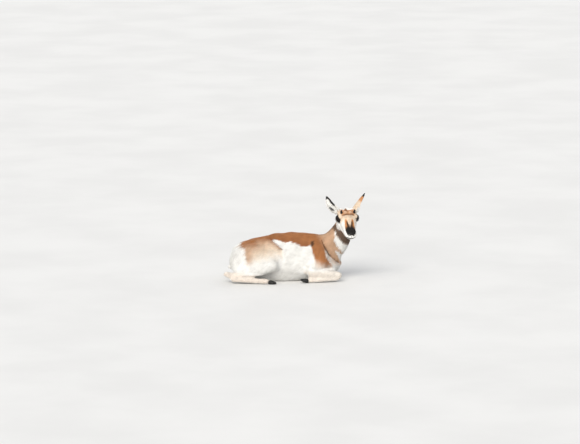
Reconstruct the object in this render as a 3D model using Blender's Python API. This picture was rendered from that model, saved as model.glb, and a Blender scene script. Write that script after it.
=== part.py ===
"""A life-size young pronghorn doe, lying on folded legs with her head turned to her right.

The flesh is built whole from lofts and ellipsoids, fused by a voxel remesh and smoothed, and then
parted with thin cuts into head, neck, torso, rump and four legs. Ears, eyes, horns, claws and
tail are pieces of their own, seated on the flesh with a hairline gap.
+X is the way the body points, +Z is up and -Y is the doe's right.
"""

import math
import random
from collections import namedtuple

import bmesh
import bpy
from mathutils import Matrix, Vector

# Driving sizes, in metres
BACK = 0.358
TRUNK = 0.835
BARREL = 0.30
HEAD = 0.275
EYE_SPREAD = 0.126
EYE_RADIUS = 0.0240
LID = 0.0030
EAR = 0.150
HORN = 0.022
TAIL = 0.125
CANNON = 0.018
CLAW = 0.056

# Locks of long hair on the nape, the rump and the tail: length, width and thickness
MANE_LOCK = (0.070, 0.027, 0.0050)
RUMP_LOCK = (0.072, 0.036, 0.0050)
TAIL_LOCK = (0.042, 0.020, 0.0040)

# The hairline between pieces that touch, the wider one round a seated ear or horn, and the
# fineness of the fused flesh
GAP = 0.0003
SEAT_GAP = 0.0008
VOXEL = 0.0045

# Where the head is, and which way the muzzle points
EYES_MIDDLE = Vector((0.459, -0.090, 0.473))
MUZZLE_WAY = Vector((0.158, -0.816, -0.561)).normalized()
UP = Vector((0, 0, 1))

# Triangles that the whole flesh is thinned to, for cutting the head from and for the rest
FINE_FLESH = 15200
PLAIN_FLESH = 3700

Station = namedtuple("Station", "place width rise drop")


def head_frame():
    """The head's own frame: X out of the muzzle, Y to the doe's left and Z out of the crown."""
    left = UP.cross(MUZZLE_WAY).normalized()
    crown = MUZZLE_WAY.cross(left)
    turn = Matrix((MUZZLE_WAY, left, crown)).transposed()
    return Matrix.Translation(EYES_MIDDLE) @ turn.to_4x4()


HEAD_FRAME = head_frame()


def clear_scene():
    for thing in list(bpy.data.objects):
        bpy.data.objects.remove(thing)


def new_object(name, bm):
    bm.normal_update()
    bmesh.ops.recalc_face_normals(bm, faces=bm.faces)
    mesh = bpy.data.meshes.new(name)
    bm.to_mesh(mesh)
    bm.free()
    thing = bpy.data.objects.new(name, mesh)
    bpy.context.scene.collection.objects.link(thing)
    return thing


def removed(*things):
    for thing in things:
        bpy.data.objects.remove(thing)


def applied(thing):
    """The object with its modifiers made part of its mesh."""
    bpy.context.view_layer.update()
    graph = bpy.context.evaluated_depsgraph_get()
    mesh = bpy.data.meshes.new_from_object(thing.evaluated_get(graph))
    thing.modifiers.clear()
    thing.data = mesh
    return thing


def eased(rows, t):
    """The row of numbers at t along a smooth curve through the rows."""
    last = len(rows) - 1
    i = min(int(t), last - 1)
    u = t - i
    before, start, end, after = (rows[max(0, min(last, k))] for k in (i - 1, i, i + 1, i + 2))
    return [
        0.5 * (2 * q + (r - p) * u + (2 * p - 5 * q + 4 * r - s) * u * u + (3 * q - p - 3 * r + s) * u**3)
        for p, q, r, s in zip(before, start, end, after)
    ]


def superellipse(angle, power):
    def bent(x):
        return math.copysign(abs(x) ** (2 / power), x)

    return bent(math.cos(angle)), bent(math.sin(angle))


def loft(name, stations, frame=None, up=UP, power=2.0, sides=24, rings=5):
    """A closed body through its stations, each with a half width, a rise and a drop."""
    frame = frame or Matrix.Identity(4)
    rows = [(*s.place, s.width, s.rise, s.drop) for s in stations]
    count = (len(rows) - 1) * rings
    sampled = [eased(rows, k / rings) for k in range(count + 1)]
    path = [Vector(row[:3]) for row in sampled]
    bm = bmesh.new()
    hoops = []
    for k, row in enumerate(sampled):
        along = (path[min(k + 1, count)] - path[max(k - 1, 0)]).normalized()
        side = up.cross(along).normalized()
        top = along.cross(side)
        width, rise, drop = (max(v, 0.0005) for v in row[3:])
        hoop = []
        for j in range(sides):
            across, high = superellipse(2 * math.pi * j / sides, power)
            tall = rise if high > 0 else drop
            hoop.append(bm.verts.new(frame @ (path[k] + side * across * width + top * high * tall)))
        hoops.append(hoop)
    for low, high in zip(hoops, hoops[1:]):
        for j in range(sides):
            n = (j + 1) % sides
            bm.faces.new((low[j], low[n], high[n], high[j]))
    for hoop, k, beyond in ((hoops[0], 0, 1), (hoops[-1], count, count - 1)):
        out = (path[k] - path[beyond]).normalized() * min(sampled[k][3:]) * 0.6
        pole = bm.verts.new(frame @ (path[k] + out))
        for j in range(sides):
            bm.faces.new((hoop[j], hoop[(j + 1) % sides], pole))
    return new_object(name, bm)


def tube(name, points, radii, **options):
    """A round limb through points, with a radius at each."""
    return loft(name, [Station(p, r, r, r) for p, r in zip(points, radii)], **options)


def ellipsoid(name, centre, radii, frame=None, turn=(0, 0, 0), segments=24):
    bm = bmesh.new()
    bmesh.ops.create_uvsphere(bm, u_segments=segments, v_segments=segments // 2, radius=1)
    spin = Matrix.Rotation(turn[2], 4, "Z") @ Matrix.Rotation(turn[1], 4, "Y") @ Matrix.Rotation(turn[0], 4, "X")
    place = Matrix.Translation(centre) @ spin @ Matrix.Diagonal((*radii, 1))
    bm.transform((frame or Matrix.Identity(4)) @ place)
    return new_object(name, bm)


def box(name, low, high, frame=None):
    bm = bmesh.new()
    low, high = Vector(low), Vector(high)
    size = high - low
    bmesh.ops.create_cube(bm, size=1)
    bm.transform((frame or Matrix.Identity(4)) @ Matrix.Translation((low + high) / 2) @ Matrix.Diagonal((*size, 1)))
    return new_object(name, bm)


def beyond(name, point, way, reach, half, frame=None):
    """A box that starts on the plane through point and lies beyond it, along way."""
    turn = Vector(way).to_track_quat("Z", "Y").to_matrix().to_4x4()
    place = (frame or Matrix.Identity(4)) @ Matrix.Translation(point) @ turn
    return box(name, (-half, -half, 0), (half, half, reach), place)


def gathered(name, things):
    """Several closed bodies as one mesh, still overlapping."""
    bm = bmesh.new()
    for thing in things:
        bm.from_mesh(thing.data)
    removed(*things)
    return new_object(name, bm)


def combine(thing, other, operation, keep=False):
    """A Boolean, applied. EXACT leaves a neck here that touches itself along an edge."""
    step = thing.modifiers.new(operation.title(), "BOOLEAN")
    step.object = other
    step.operation = operation
    step.solver = "MANIFOLD"
    applied(thing)
    if not keep:
        removed(other)
    return thing


def largest_body(thing):
    """Keeps only the largest closed surface of a mesh."""
    bm = bmesh.new()
    bm.from_mesh(thing.data)
    bm.verts.index_update()
    left = set(bm.verts)
    bodies = []
    while left:
        start = left.pop()
        body, edge = {start}, [start]
        while edge:
            for link in edge.pop().link_edges:
                for vert in link.verts:
                    if vert in left:
                        left.discard(vert)
                        body.add(vert)
                        edge.append(vert)
        bodies.append(body)
    biggest = max(bodies, key=len)
    loose = [v for body in bodies if body is not biggest for v in body]
    bmesh.ops.delete(bm, geom=loose, context="VERTS")
    bm.to_mesh(thing.data)
    bm.free()
    return thing


def copied(thing, name):
    twin = thing.copy()
    twin.data = thing.data.copy()
    twin.name = name
    bpy.context.scene.collection.objects.link(twin)
    return twin


def grown(thing, amount):
    """The mesh moved out along its normals."""
    step = thing.modifiers.new("Grow", "DISPLACE")
    step.strength = amount
    step.mid_level = 0
    return applied(thing)


def thinned(thing, triangles):
    count = sum(len(face.vertices) - 2 for face in thing.data.polygons)
    step = thing.modifiers.new("Thin", "DECIMATE")
    step.ratio = min(1.0, triangles / count)
    return applied(thing)


# The trunk: rows of place along X, level of the widest line, half width, rise and drop
TRUNK_ROWS = (
    (-0.474, 0.132, 0.066, 0.036, 0.056),
    (-0.448, 0.136, 0.108, 0.074, 0.108),
    (-0.400, 0.142, 0.135, 0.112, 0.148),
    (-0.330, 0.145, 0.148, 0.150, 0.160),
    (-0.210, 0.140, 0.147, 0.185, 0.160),
    (-0.110, 0.133, 0.151, 0.212, 0.155),
    (0.055, 0.130, 0.152, 0.230, 0.150),
    (0.170, 0.140, 0.143, 0.216, 0.155),
    (0.265, 0.142, 0.134, 0.202, 0.155),
    (0.335, 0.138, 0.124, 0.188, 0.150),
    (0.408, 0.132, 0.106, 0.142, 0.135),
    (0.460, 0.130, 0.080, 0.096, 0.105),
    (0.486, 0.128, 0.044, 0.052, 0.060),
)


def trunk_piece():
    """The barrel from buttock to breast. The rows are shares of the trunk, back and barrel."""
    wide, tall = BARREL / 0.306, BACK / 0.358
    stations = [
        Station((x * TRUNK, 0, level * tall), half * wide, rise * tall, drop * tall)
        for x, level, half, rise, drop in TRUNK_ROWS
    ]
    return loft("trunk", stations, power=2.1, sides=40)


def neck_stations():
    return [
        Station((0.230, 0.000, 0.205), 0.100, 0.126, 0.125),
        Station((0.300, 0.004, 0.240), 0.092, 0.104, 0.136),
        Station((0.356, 0.006, 0.286), 0.083, 0.078, 0.128),
        Station((0.398, 0.006, 0.340), 0.074, 0.068, 0.106),
        Station((0.424, 0.000, 0.396), 0.067, 0.060, 0.086),
        Station((0.437, -0.006, 0.446), 0.058, 0.054, 0.064),
        Station((0.445, -0.025, 0.476), 0.046, 0.042, 0.046),
    ]


# The level of the lips at the front of the muzzle and at the mouth's corners, in the head's frame
LIP_FRONT = -0.0240
LIP_CORNER = -0.0385

# The skull and upper muzzle in the head's frame: along, level, half width, rise and drop
SKULL_ROWS = (
    (-0.098, -0.026, 0.034, 0.024, 0.034),
    (-0.078, -0.021, 0.050, 0.038, 0.044),
    (-0.045, -0.013, 0.059, 0.047, 0.048),
    (-0.010, -0.008, 0.062, 0.055, 0.045),
    (0.020, -0.008, 0.060, 0.052, 0.042),
    (0.050, -0.010, 0.055, 0.044, 0.038),
    (0.080, -0.012, 0.051, 0.038, 0.035),
    (0.110, -0.014, 0.048, 0.034, 0.033),
    (0.140, -0.016, 0.048, 0.032, 0.030),
    (0.163, -0.017, 0.045, 0.028, 0.027),
    (0.179, -0.018, 0.037, 0.021, 0.021),
    (0.187, -0.018, 0.018, 0.011, 0.012),
)
JAW_ROWS = (
    (-0.072, -0.066, 0.038, 0.034, 0.030),
    (-0.030, -0.064, 0.058, 0.040, 0.042),
    (0.022, -0.060, 0.056, 0.034, 0.038),
    (0.070, -0.055, 0.050, 0.026, 0.031),
    (0.115, -0.050, 0.042, 0.021, 0.021),
    (0.150, -0.046, 0.033, 0.017, 0.016),
    (0.170, -0.043, 0.026, 0.012, 0.013),
    (0.179, -0.041, 0.013, 0.007, 0.008),
)


def head_pieces():
    size = HEAD / 0.275
    half = EYE_SPREAD / 2

    def rows(table):
        return [Station((x * size, 0, z * size), w * size, r * size, d * size) for x, z, w, r, d in table]

    pieces = [
        loft("skull", rows(SKULL_ROWS), HEAD_FRAME, power=2.2),
        loft("jaw", rows(JAW_ROWS), HEAD_FRAME),
        ellipsoid("crown", (-0.056, 0, -0.010), (0.048, 0.056, 0.046), HEAD_FRAME),
    ]
    for side in (-1, 1):
        pieces += [
            ellipsoid("forelock", (-0.012, side * 0.019, 0.033), (0.034, 0.027, 0.019), HEAD_FRAME),
            ellipsoid("cheek", (0.004, side * 0.042, -0.050), (0.066, 0.029, 0.046), HEAD_FRAME),
            ellipsoid("brow", (-0.002, side * (half - 0.008), 0.006), (0.042, 0.024, 0.031), HEAD_FRAME),
            ellipsoid("orbit", (0, 0, -0.001), (EYE_RADIUS + LID + 0.001,) * 3, eye_frame(side)),
            ellipsoid("ear_base", (-0.056, side * 0.046, 0.014), (0.028, 0.026, 0.026), HEAD_FRAME),
        ]
    return pieces


def foreleg_points(side):
    """Shoulder, elbow, knee, fetlock and coronet of a folded foreleg. The far one lies further on."""
    on = -0.026 if side > 0 else 0.0
    return {
        "blade": Vector((0.165, side * 0.050, 0.300)),
        "shoulder": Vector((0.290, side * 0.098, 0.165)),
        "elbow": Vector((0.178 + on, side * 0.132, 0.086)),
        "knee": Vector((0.384 + on, side * 0.116, 0.054)),
        "fetlock": Vector((0.212 + on, side * 0.150, 0.021)),
        "coronet": Vector((0.170 + on, side * 0.155, 0.019)),
    }


def foreleg_pieces(side):
    p = foreleg_points(side)
    middle = (p["blade"] + p["shoulder"]) / 2
    blade = [
        Station(p["blade"], 0.036, 0.055, 0.055),
        Station(middle + Vector((0, side * 0.012, 0)), 0.048, 0.076, 0.076),
        Station(p["shoulder"], 0.048, 0.066, 0.060),
    ]
    under = Vector((0, 0, -0.024))
    return [
        loft("blade", blade, up=Vector((1, 0, 0.8))),
        tube("upper_arm", (p["shoulder"], p["elbow"]), (0.054, 0.046)),
        tube("forearm", (p["elbow"], p["elbow"].lerp(p["knee"], 0.4), p["knee"]), (0.046, 0.040, 0.027)),
        ellipsoid("knee", p["knee"] + Vector((0.006, 0, -0.006)), (0.031, 0.027, 0.032)),
        tube("cannon", (p["knee"] + under, p["fetlock"]), (CANNON + 0.003, CANNON)),
        tube("pastern", (p["fetlock"], p["coronet"]), (0.021, 0.017)),
    ]


def hindleg_points(side):
    """Stifle, hock, fetlock and coronet of a folded hind leg. The far one lies further under."""
    on = 0.03 if side > 0 else 0.0
    tuck = 0.012 if side > 0 else 0.0
    return {
        "stifle": Vector((-0.066, side * 0.144, 0.146)),
        "hock": Vector((-0.385 + on, side * (0.165 - tuck), 0.050)),
        "point": Vector((-0.446 + on, side * (0.153 - tuck), 0.075)),
        "fetlock": Vector((-0.165 + on, side * (0.200 - tuck), 0.022)),
        "coronet": Vector((-0.120 + on, side * (0.202 - tuck), 0.019)),
    }


def hindleg_pieces(side):
    p = hindleg_points(side)
    calf = p["stifle"].lerp(p["hock"], 0.35) + Vector((0, side * 0.012, 0))
    low = Vector((-0.006, side * 0.016, -0.016))
    return [
        ellipsoid("haunch", (-0.240, side * 0.088, 0.150), (0.175, 0.082, 0.140)),
        ellipsoid("thigh", (-0.112, side * 0.110, 0.168), (0.116, 0.062, 0.090), turn=(0, 0.50, 0)),
        tube("gaskin", (p["stifle"], calf, p["hock"]), (0.062, 0.055, 0.029)),
        tube("heel", (p["hock"], p["point"]), (0.027, 0.021)),
        tube("shank", (p["hock"] + low, p["fetlock"]), (CANNON + 0.005, CANNON + 0.001)),
        tube("foot", (p["fetlock"], p["coronet"]), (0.022, 0.018)),
    ]


def softened(thing):
    """Blends the fused pieces. The head and the feet keep more of their shape than the body."""
    body = thing.vertex_groups.new(name="body")
    to_head = HEAD_FRAME.inverted()
    for vert in thing.data.vertices:
        p = vert.co
        q = to_head @ p
        from_head = (q - Vector((min(0.17, max(-0.02, q.x)), 0, -0.02))).length
        weight = min(1.0, max(0.16, (from_head - 0.06) / 0.10))
        weight *= min(1.0, max(0.10, (p.z - 0.05) / 0.09))
        body.add([vert.index], weight, "REPLACE")
    step = thing.modifiers.new("Soften", "SMOOTH")
    step.factor = 0.5
    step.iterations = 150
    step.vertex_group = "body"
    return applied(thing)


def whole_flesh():
    """The body, neck, head and legs fused into one surface and cut flat where it rests."""
    pieces = [trunk_piece(), loft("throat", neck_stations())] + head_pieces()
    for side in (-1, 1):
        pieces += foreleg_pieces(side) + hindleg_pieces(side)
    flesh = gathered("flesh", pieces)
    step = flesh.modifiers.new("Fuse", "REMESH")
    step.mode = "VOXEL"
    step.voxel_size = VOXEL
    applied(flesh)
    softened(flesh)
    return combine(flesh, box("ground", (-1, -1, -1), (1, 1, 0.0)), "DIFFERENCE")


def head_region(gap=0.0):
    way = Vector((0, -0.80, 0.60))
    return beyond("head_region", Vector((0.45, -0.060, 0.385)) - way * gap, way, 0.40, 0.20)


def neck_region(gap=0.0):
    way = Vector((0.80, 0, 0.60))
    return beyond("neck_region", Vector((0.345, 0, 0.250)) - way * gap, way, 0.50, 0.40)


def rump_region(gap=0.0):
    return box("rump_region", (-0.60, -0.40, 0.100 - gap), (-0.300 + gap, 0.40, 0.50))


def hindleg_region(side, gap=0.0):
    thigh = ellipsoid("hindleg_region", (-0.205, side * 0.180, 0.130), (0.235 + gap, 0.120 + gap, 0.170 + gap))
    inner, outer = sorted((side * (0.112 - gap), side * 0.40))
    foot = box("foot_region", (-0.60, inner, -0.05), (-0.035 + gap, outer, 0.075 + gap))
    hock = box("hock_region", (-0.60, inner, 0.0), (-0.350 + gap, outer, 0.100))
    combine(thigh, foot, "UNION")
    return combine(thigh, hock, "UNION")


def foreleg_region(side, gap=0.0):
    arm = ellipsoid("foreleg_region", (0.245, side * 0.170, 0.160), (0.115 + gap, 0.105 + gap, 0.160 + gap))
    inner, outer = sorted((side * (0.088 - gap), side * 0.40))
    foot = box("foot_region", (0.075 - gap, inner, -0.05), (0.60, outer, 0.095 + gap))
    return combine(arm, foot, "UNION")


def parted(flesh, name, own, others):
    """The part of the flesh inside its own region and outside the others, cut a hairline apart."""
    piece = copied(flesh, name)
    if own is not None:
        combine(piece, own, "INTERSECT")
    for other in others:
        combine(piece, other, "DIFFERENCE")
    return largest_body(piece)


def flesh_nodes(fine, plain):
    """The head from the fine flesh, and the rest of the body from the plain one."""
    sides = {"right": -1, "left": 1}
    nodes = {"head": parted(fine, "head", head_region(), [])}
    nodes["neck"] = parted(plain, "neck", neck_region(), [head_region(GAP)])
    nodes["rump"] = parted(plain, "rump", rump_region(), [])
    legs = []
    for word, side in sides.items():
        name = f"hindleg_{word}"
        nodes[name] = parted(plain, name, hindleg_region(side), [rump_region(GAP)])
        name = f"foreleg_{word}"
        nodes[name] = parted(plain, name, foreleg_region(side), [head_region(GAP), neck_region(GAP)])
        legs += [hindleg_region(side, GAP), foreleg_region(side, GAP)]
    others = [head_region(GAP), neck_region(GAP), rump_region(GAP)] + legs
    nodes["torso"] = parted(plain, "torso", None, others)
    return nodes


def eye_frame(side):
    """The eye's own frame: Z looks out of the eye and X runs along the lids to the front corner."""
    look = Vector((0.47, side * 0.87, 0.15)).normalized()
    along = Vector((0.95, 0, -0.25))
    along = (along - look * along.dot(look)).normalized()
    turn = Matrix((along, look.cross(along), look)).transposed().to_4x4()
    centre = Vector((0.0, side * EYE_SPREAD / 2, 0.0))
    return HEAD_FRAME @ Matrix.Translation(centre) @ turn


def lid_opening(side):
    """An almond prism along the way the eye looks."""
    bm = bmesh.new()
    steps = 16
    half_long, half_tall = 0.0195, 0.0150
    outline = []
    for k in range(steps):
        angle = 2 * math.pi * k / steps
        x = math.cos(angle) * half_long
        y = math.copysign((1 - (x / half_long) ** 2) ** 0.75, math.sin(angle)) * half_tall
        outline.append((x, y))
    low = [bm.verts.new((x, y, EYE_RADIUS * 0.55)) for x, y in outline]
    high = [bm.verts.new((x * 1.25, y * 1.25, EYE_RADIUS * 1.6)) for x, y in outline]
    bm.faces.new(low)
    bm.faces.new(high)
    for k in range(steps):
        n = (k + 1) % steps
        bm.faces.new((low[k], low[n], high[n], high[k]))
    bm.transform(eye_frame(side))
    return new_object("lid_opening", bm)


def eyeball(name, side, extra=0.0):
    radius = EYE_RADIUS + extra
    return ellipsoid(name, (0, 0, 0), (radius,) * 3, eye_frame(side), segments=16)


def lip_level(x):
    """How far below the eyes the lips meet, at x along the muzzle."""
    share = min(1, max(0, (0.178 - x) / 0.086))
    return LIP_FRONT + (LIP_CORNER - LIP_FRONT) * math.sin(share * math.pi / 2)


def lip_line(head):
    """Points round the muzzle where the lips meet, found on the head's own surface."""
    half = []
    for x in (0.092, 0.104, 0.116, 0.128, 0.140):
        half.append((Vector((x, 0, lip_level(x))), 90))
    for angle in (75, 60, 45, 30, 15):
        half.append((Vector((0.144, 0, lip_level(0.144 + 0.034 * math.cos(math.radians(angle))))), angle))
    path = half + [(Vector((0.144, 0, LIP_FRONT)), 0)] + [(o, -a) for o, a in reversed(half)]
    to_head = HEAD_FRAME.inverted()
    turn = HEAD_FRAME.to_3x3()
    points = []
    for origin, angle in path:
        way = Vector((math.cos(math.radians(angle)), math.sin(math.radians(angle)), 0))
        hit, spot, _, _ = head.ray_cast(HEAD_FRAME @ (origin + way * 0.08), turn @ -way)
        if hit:
            points.append(to_head @ spot)
    return points


def detailed_head(head):
    """Cuts the eye openings, the nostrils and the line of the mouth."""
    lips = lip_line(head)
    for side in (-1, 1):
        combine(head, eyeball("socket", side, GAP), "DIFFERENCE")
        combine(head, lid_opening(side), "DIFFERENCE")
        nostril = ellipsoid(
            "nostril", (0.174, side * 0.0195, -0.0015), (0.012, 0.0040, 0.0075), HEAD_FRAME,
            turn=(side * 0.5, 0.2, side * 0.55), segments=12,
        )
        combine(head, nostril, "DIFFERENCE")
    groove = [Station(p, 0.0030, 0.0011, 0.0011) for p in lips]
    combine(head, loft("mouth", groove, HEAD_FRAME, sides=8, rings=2), "DIFFERENCE")
    return largest_body(head)


def seated(piece, skin):
    """The piece with what lies inside the skin taken away, so that it meets the skin face to face."""
    combine(piece, skin, "DIFFERENCE", keep=True)
    return largest_body(piece)


# Each ear's base in the head's frame, the way it stands and the way its cup opens. The left one is turned back
EAR_RIGHT = ((-0.056, -0.058, 0.013), (-0.590, 0.430, 0.683), (-0.25, -0.95, 0.10))
EAR_LEFT = ((-0.056, 0.056, 0.020), (0.523, 0.233, 0.820), (0.86, 0.16, -0.52))

# Along the ear from base to tip: share of the length, width and half angle of the cup
EAR_ROWS = (
    (-0.14, 0.040, 160),
    (0.00, 0.047, 150),
    (0.14, 0.054, 125),
    (0.30, 0.058, 98),
    (0.48, 0.056, 82),
    (0.66, 0.050, 70),
    (0.82, 0.037, 60),
    (0.93, 0.022, 52),
    (1.00, 0.007, 46),
)


def ear_piece(name, side, base, way, facing):
    """A cupped, pointed ear: a sheet bent round its length and given its thickness."""
    base = HEAD_FRAME @ Vector(base)
    way = Vector(way).normalized()
    facing = Vector(facing)
    facing = (facing - way * facing.dot(way)).normalized()
    across = way.cross(facing)
    rows, columns = 12, 6
    inward = -across * side
    bm = bmesh.new()
    grid = []
    for i in range(rows + 1):
        share, width, cup = eased(EAR_ROWS, (len(EAR_ROWS) - 1) * i / rows)
        cup = math.radians(cup)
        radius = width / 2 / math.sin(min(cup, math.pi / 2))
        spine = base + way * EAR * share - inward * 0.016 * math.sin(math.pi * min(1, max(0, share)))
        spine -= facing * 0.019 * (1 - share)
        line = []
        for j in range(columns + 1):
            angle = cup * (2 * j / columns - 1)
            line.append(bm.verts.new(spine + across * radius * math.sin(angle) + facing * radius * (1 - math.cos(angle))))
        grid.append(line)
    for low, high in zip(grid, grid[1:]):
        for j in range(columns):
            bm.faces.new((low[j], low[j + 1], high[j + 1], high[j]))
    ear = new_object(name, bm)
    step = ear.modifiers.new("Thickness", "SOLIDIFY")
    step.thickness = 0.0028
    step.offset = 0
    return applied(ear)


def horn_piece(name, side):
    """A doe's short horn, a blunt nub that leans in a little."""
    base = Vector((-0.014, side * 0.047, 0.042))
    points = [base, base + Vector((-0.003, side * 0.003, HORN * 0.55)), base + Vector((-0.007, 0, HORN))]
    stations = [Station(p, r, r * 1.25, r * 1.25) for p, r in zip(points, (0.0098, 0.0080, 0.0042))]
    return loft(name, stations, HEAD_FRAME, up=Vector((1, 0, 0)), sides=10, rings=3)


def tail_piece():
    """The short tail, laid down the middle of the rump."""
    long = TAIL / 0.125
    stations = [
        Station((-0.318, 0, 0.256), 0.018, 0.011, 0.018),
        Station((-0.318 - 0.030 * long, 0, 0.256 - 0.012 * long), 0.023, 0.010, 0.020),
        Station((-0.318 - 0.054 * long, 0, 0.256 - 0.040 * long), 0.023, 0.010, 0.018),
        Station((-0.318 - 0.072 * long, 0, 0.256 - 0.078 * long), 0.017, 0.009, 0.012),
        Station((-0.318 - 0.080 * long, 0, 0.256 - 0.106 * long), 0.005, 0.004, 0.004),
    ]
    return loft("tail", stations, sides=12, rings=2)


def claw_pieces(name, points, sole_down):
    """The two claws of a foot, on from its coronet."""
    way = points["coronet"] - points["fetlock"]
    way = Vector((way.x, way.y, 0)).normalized()
    across = UP.cross(way)
    claws = []
    for word, lean in (("inner", -1), ("outer", 1)):
        outwards = across * lean * 0.0098
        start = Vector((points["coronet"].x, points["coronet"].y, 0.0160)) + outwards
        toe_in = -across * lean * 0.003
        rows = ((-0.010, 0.0080, 0.011, 0.012, 0), (0.16, 0.0092, 0.013, 0.016, 0),
                (0.55, 0.0085, 0.009, 0.0165, 0), (0.88, 0.0055, 0.000, 0.0160, 0.5), (1.0, 0.0025, -0.004, 0.0140, 1))
        stations = []
        for share, width, rise, drop, turn_in in rows:
            if not sole_down:
                rise, drop = drop, rise
            middle = (rise - drop) / 2
            half = (rise + drop) / 2
            place = start + way * CLAW * share + toe_in * turn_in + UP * middle
            stations.append(Station(place, width, half, half))
        claws.append(loft(f"{name}_{word}", stations, power=2.6, sides=10, rings=1))
    return claws


def lock_piece(skin, spot, way, size, rise, rng):
    """A flat lock that tapers. Its root is sunk in, and it bends to lie over the skin along way."""
    length, width, thick = (v * rng.uniform(0.88, 1.12) for v in size)
    turn = rng.uniform(-0.14, 0.14)
    rows = (
        (-0.06, -0.0080, 0.80, 1.0),
        (0.14, rise * 0.25, 1.00, 1.0),
        (0.50, rise * 0.95, 0.88, 0.8),
        (0.80, rise * 1.00, 0.52, 0.5),
        (1.00, rise * 0.70, 0.00, 0.0),
    )
    bm = bmesh.new()
    hoops = []
    for share, up, wide, deep in rows:
        _, place, normal, _ = skin.closest_point_on_mesh(spot + way * length * share)
        on = (way - normal * way.dot(normal)).normalized()
        on = Matrix.Rotation(turn * (0.4 + share), 3, normal) @ on
        across = normal.cross(on)
        middle = place + normal * up + across * turn * length * share * share
        if not wide:
            tip = bm.verts.new(middle)
            break
        sides = across * width * wide / 2
        faces = normal * thick * deep / 2
        hoops.append([bm.verts.new(middle + step) for step in (sides, faces, -sides, -faces)])
    for low, high in zip(hoops, hoops[1:]):
        for j in range(4):
            bm.faces.new((low[j], low[(j + 1) % 4], high[(j + 1) % 4], high[j]))
    bm.faces.new(hoops[0])
    for j in range(4):
        bm.faces.new((hoops[-1][j], hoops[-1][(j + 1) % 4], tip))
    return new_object("lock", bm)


def fused(thing, locks, clear_of):
    """The locks and their node as one closed body, kept a hairline away from its neighbours."""
    group = bpy.data.collections.new("locks")
    bpy.context.scene.collection.children.link(group)
    for lock in locks:
        bpy.context.scene.collection.objects.unlink(lock)
        group.objects.link(lock)
    step = thing.modifiers.new("Locks", "BOOLEAN")
    step.operation = "UNION"
    step.operand_type = "COLLECTION"
    step.collection = group
    step.solver = "MANIFOLD"
    applied(thing)
    removed(*list(group.objects))
    bpy.data.collections.remove(group)
    for other in clear_of:
        combine(thing, grown(copied(other, "clear"), GAP), "DIFFERENCE")
    return largest_body(thing)


def mane(skin, rng):
    """Locks in three rows down the nape, each over the roots of the next."""
    line = [Vector(s.place) for s in neck_stations()]
    locks = []
    count = 8
    for row, angle in enumerate((-28, 0, 28)):
        for k in range(count):
            t = 1.15 + 4.2 * (k + 0.5 * (row % 2)) / (count - 0.5)
            middle = Vector(eased(line, t))
            along = (Vector(eased(line, t + 0.1)) - Vector(eased(line, t - 0.1))).normalized()
            out = Matrix.Rotation(math.radians(angle), 3, along) @ along.cross(UP.cross(along).normalized())
            hit, spot, _, _ = skin.ray_cast(middle + out * 0.3, -out)
            if hit:
                locks.append(lock_piece(skin, spot, -along, MANE_LOCK, 0.0070 if angle else 0.0100, rng))
    return locks


def rump_patch(skin, rng):
    """Locks that fan down and out over the pale patch, on both sides of the tail."""
    locks = []
    for row, (height, columns) in enumerate(((0.250, 3), (0.208, 3), (0.166, 2))):
        for column in range(columns):
            for side in (-1, 1):
                aside = side * (0.036 + 0.036 * column + 0.016 * (row % 2))
                hit, spot, _, _ = skin.ray_cast(Vector((-0.70, aside, height)), Vector((1, 0, 0)))
                if hit:
                    way = Vector((-0.30, aside * 3.2, -1.0)).normalized()
                    locks.append(lock_piece(skin, spot, way, RUMP_LOCK, 0.0065, rng))
    return locks


def tail_tuft(tail, rng):
    locks = []
    for height, aside in ((0.238, -0.6), (0.238, 0.6), (0.206, -0.35), (0.206, 0.35)):
        out = Vector((-1, aside, 0.1)).normalized()
        hit, spot, _, _ = tail.ray_cast(Vector((-0.372, 0, height)) + out * 0.15, -out)
        if hit:
            locks.append(lock_piece(tail, spot, Vector((-0.25, 0, -1)).normalized(), TAIL_LOCK, 0.0060, rng))
    return locks


def settled(things):
    """Moves the whole model so that it stands centred over the origin."""
    spots = [vert.co for thing in things for vert in thing.data.vertices]
    low = Vector(min(spot[k] for spot in spots) for k in range(3))
    high = Vector(max(spot[k] for spot in spots) for k in range(3))
    shift = Vector((-(low.x + high.x) / 2, -(low.y + high.y) / 2, -low.z))
    for thing in things:
        thing.data.transform(Matrix.Translation(shift))


def finished(thing, look):
    thing.data.materials.clear()
    thing.data.materials.append(look)
    thing.data.shade_smooth()
    thing.data.set_sharp_from_angle(angle=math.radians(60))


def material(name, colour, roughness):
    look = bpy.data.materials.new(name)
    look.use_nodes = True
    shader = look.node_tree.nodes["Principled BSDF"]
    shader.inputs["Base Color"].default_value = (*colour, 1)
    shader.inputs["Roughness"].default_value = roughness
    return look


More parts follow.
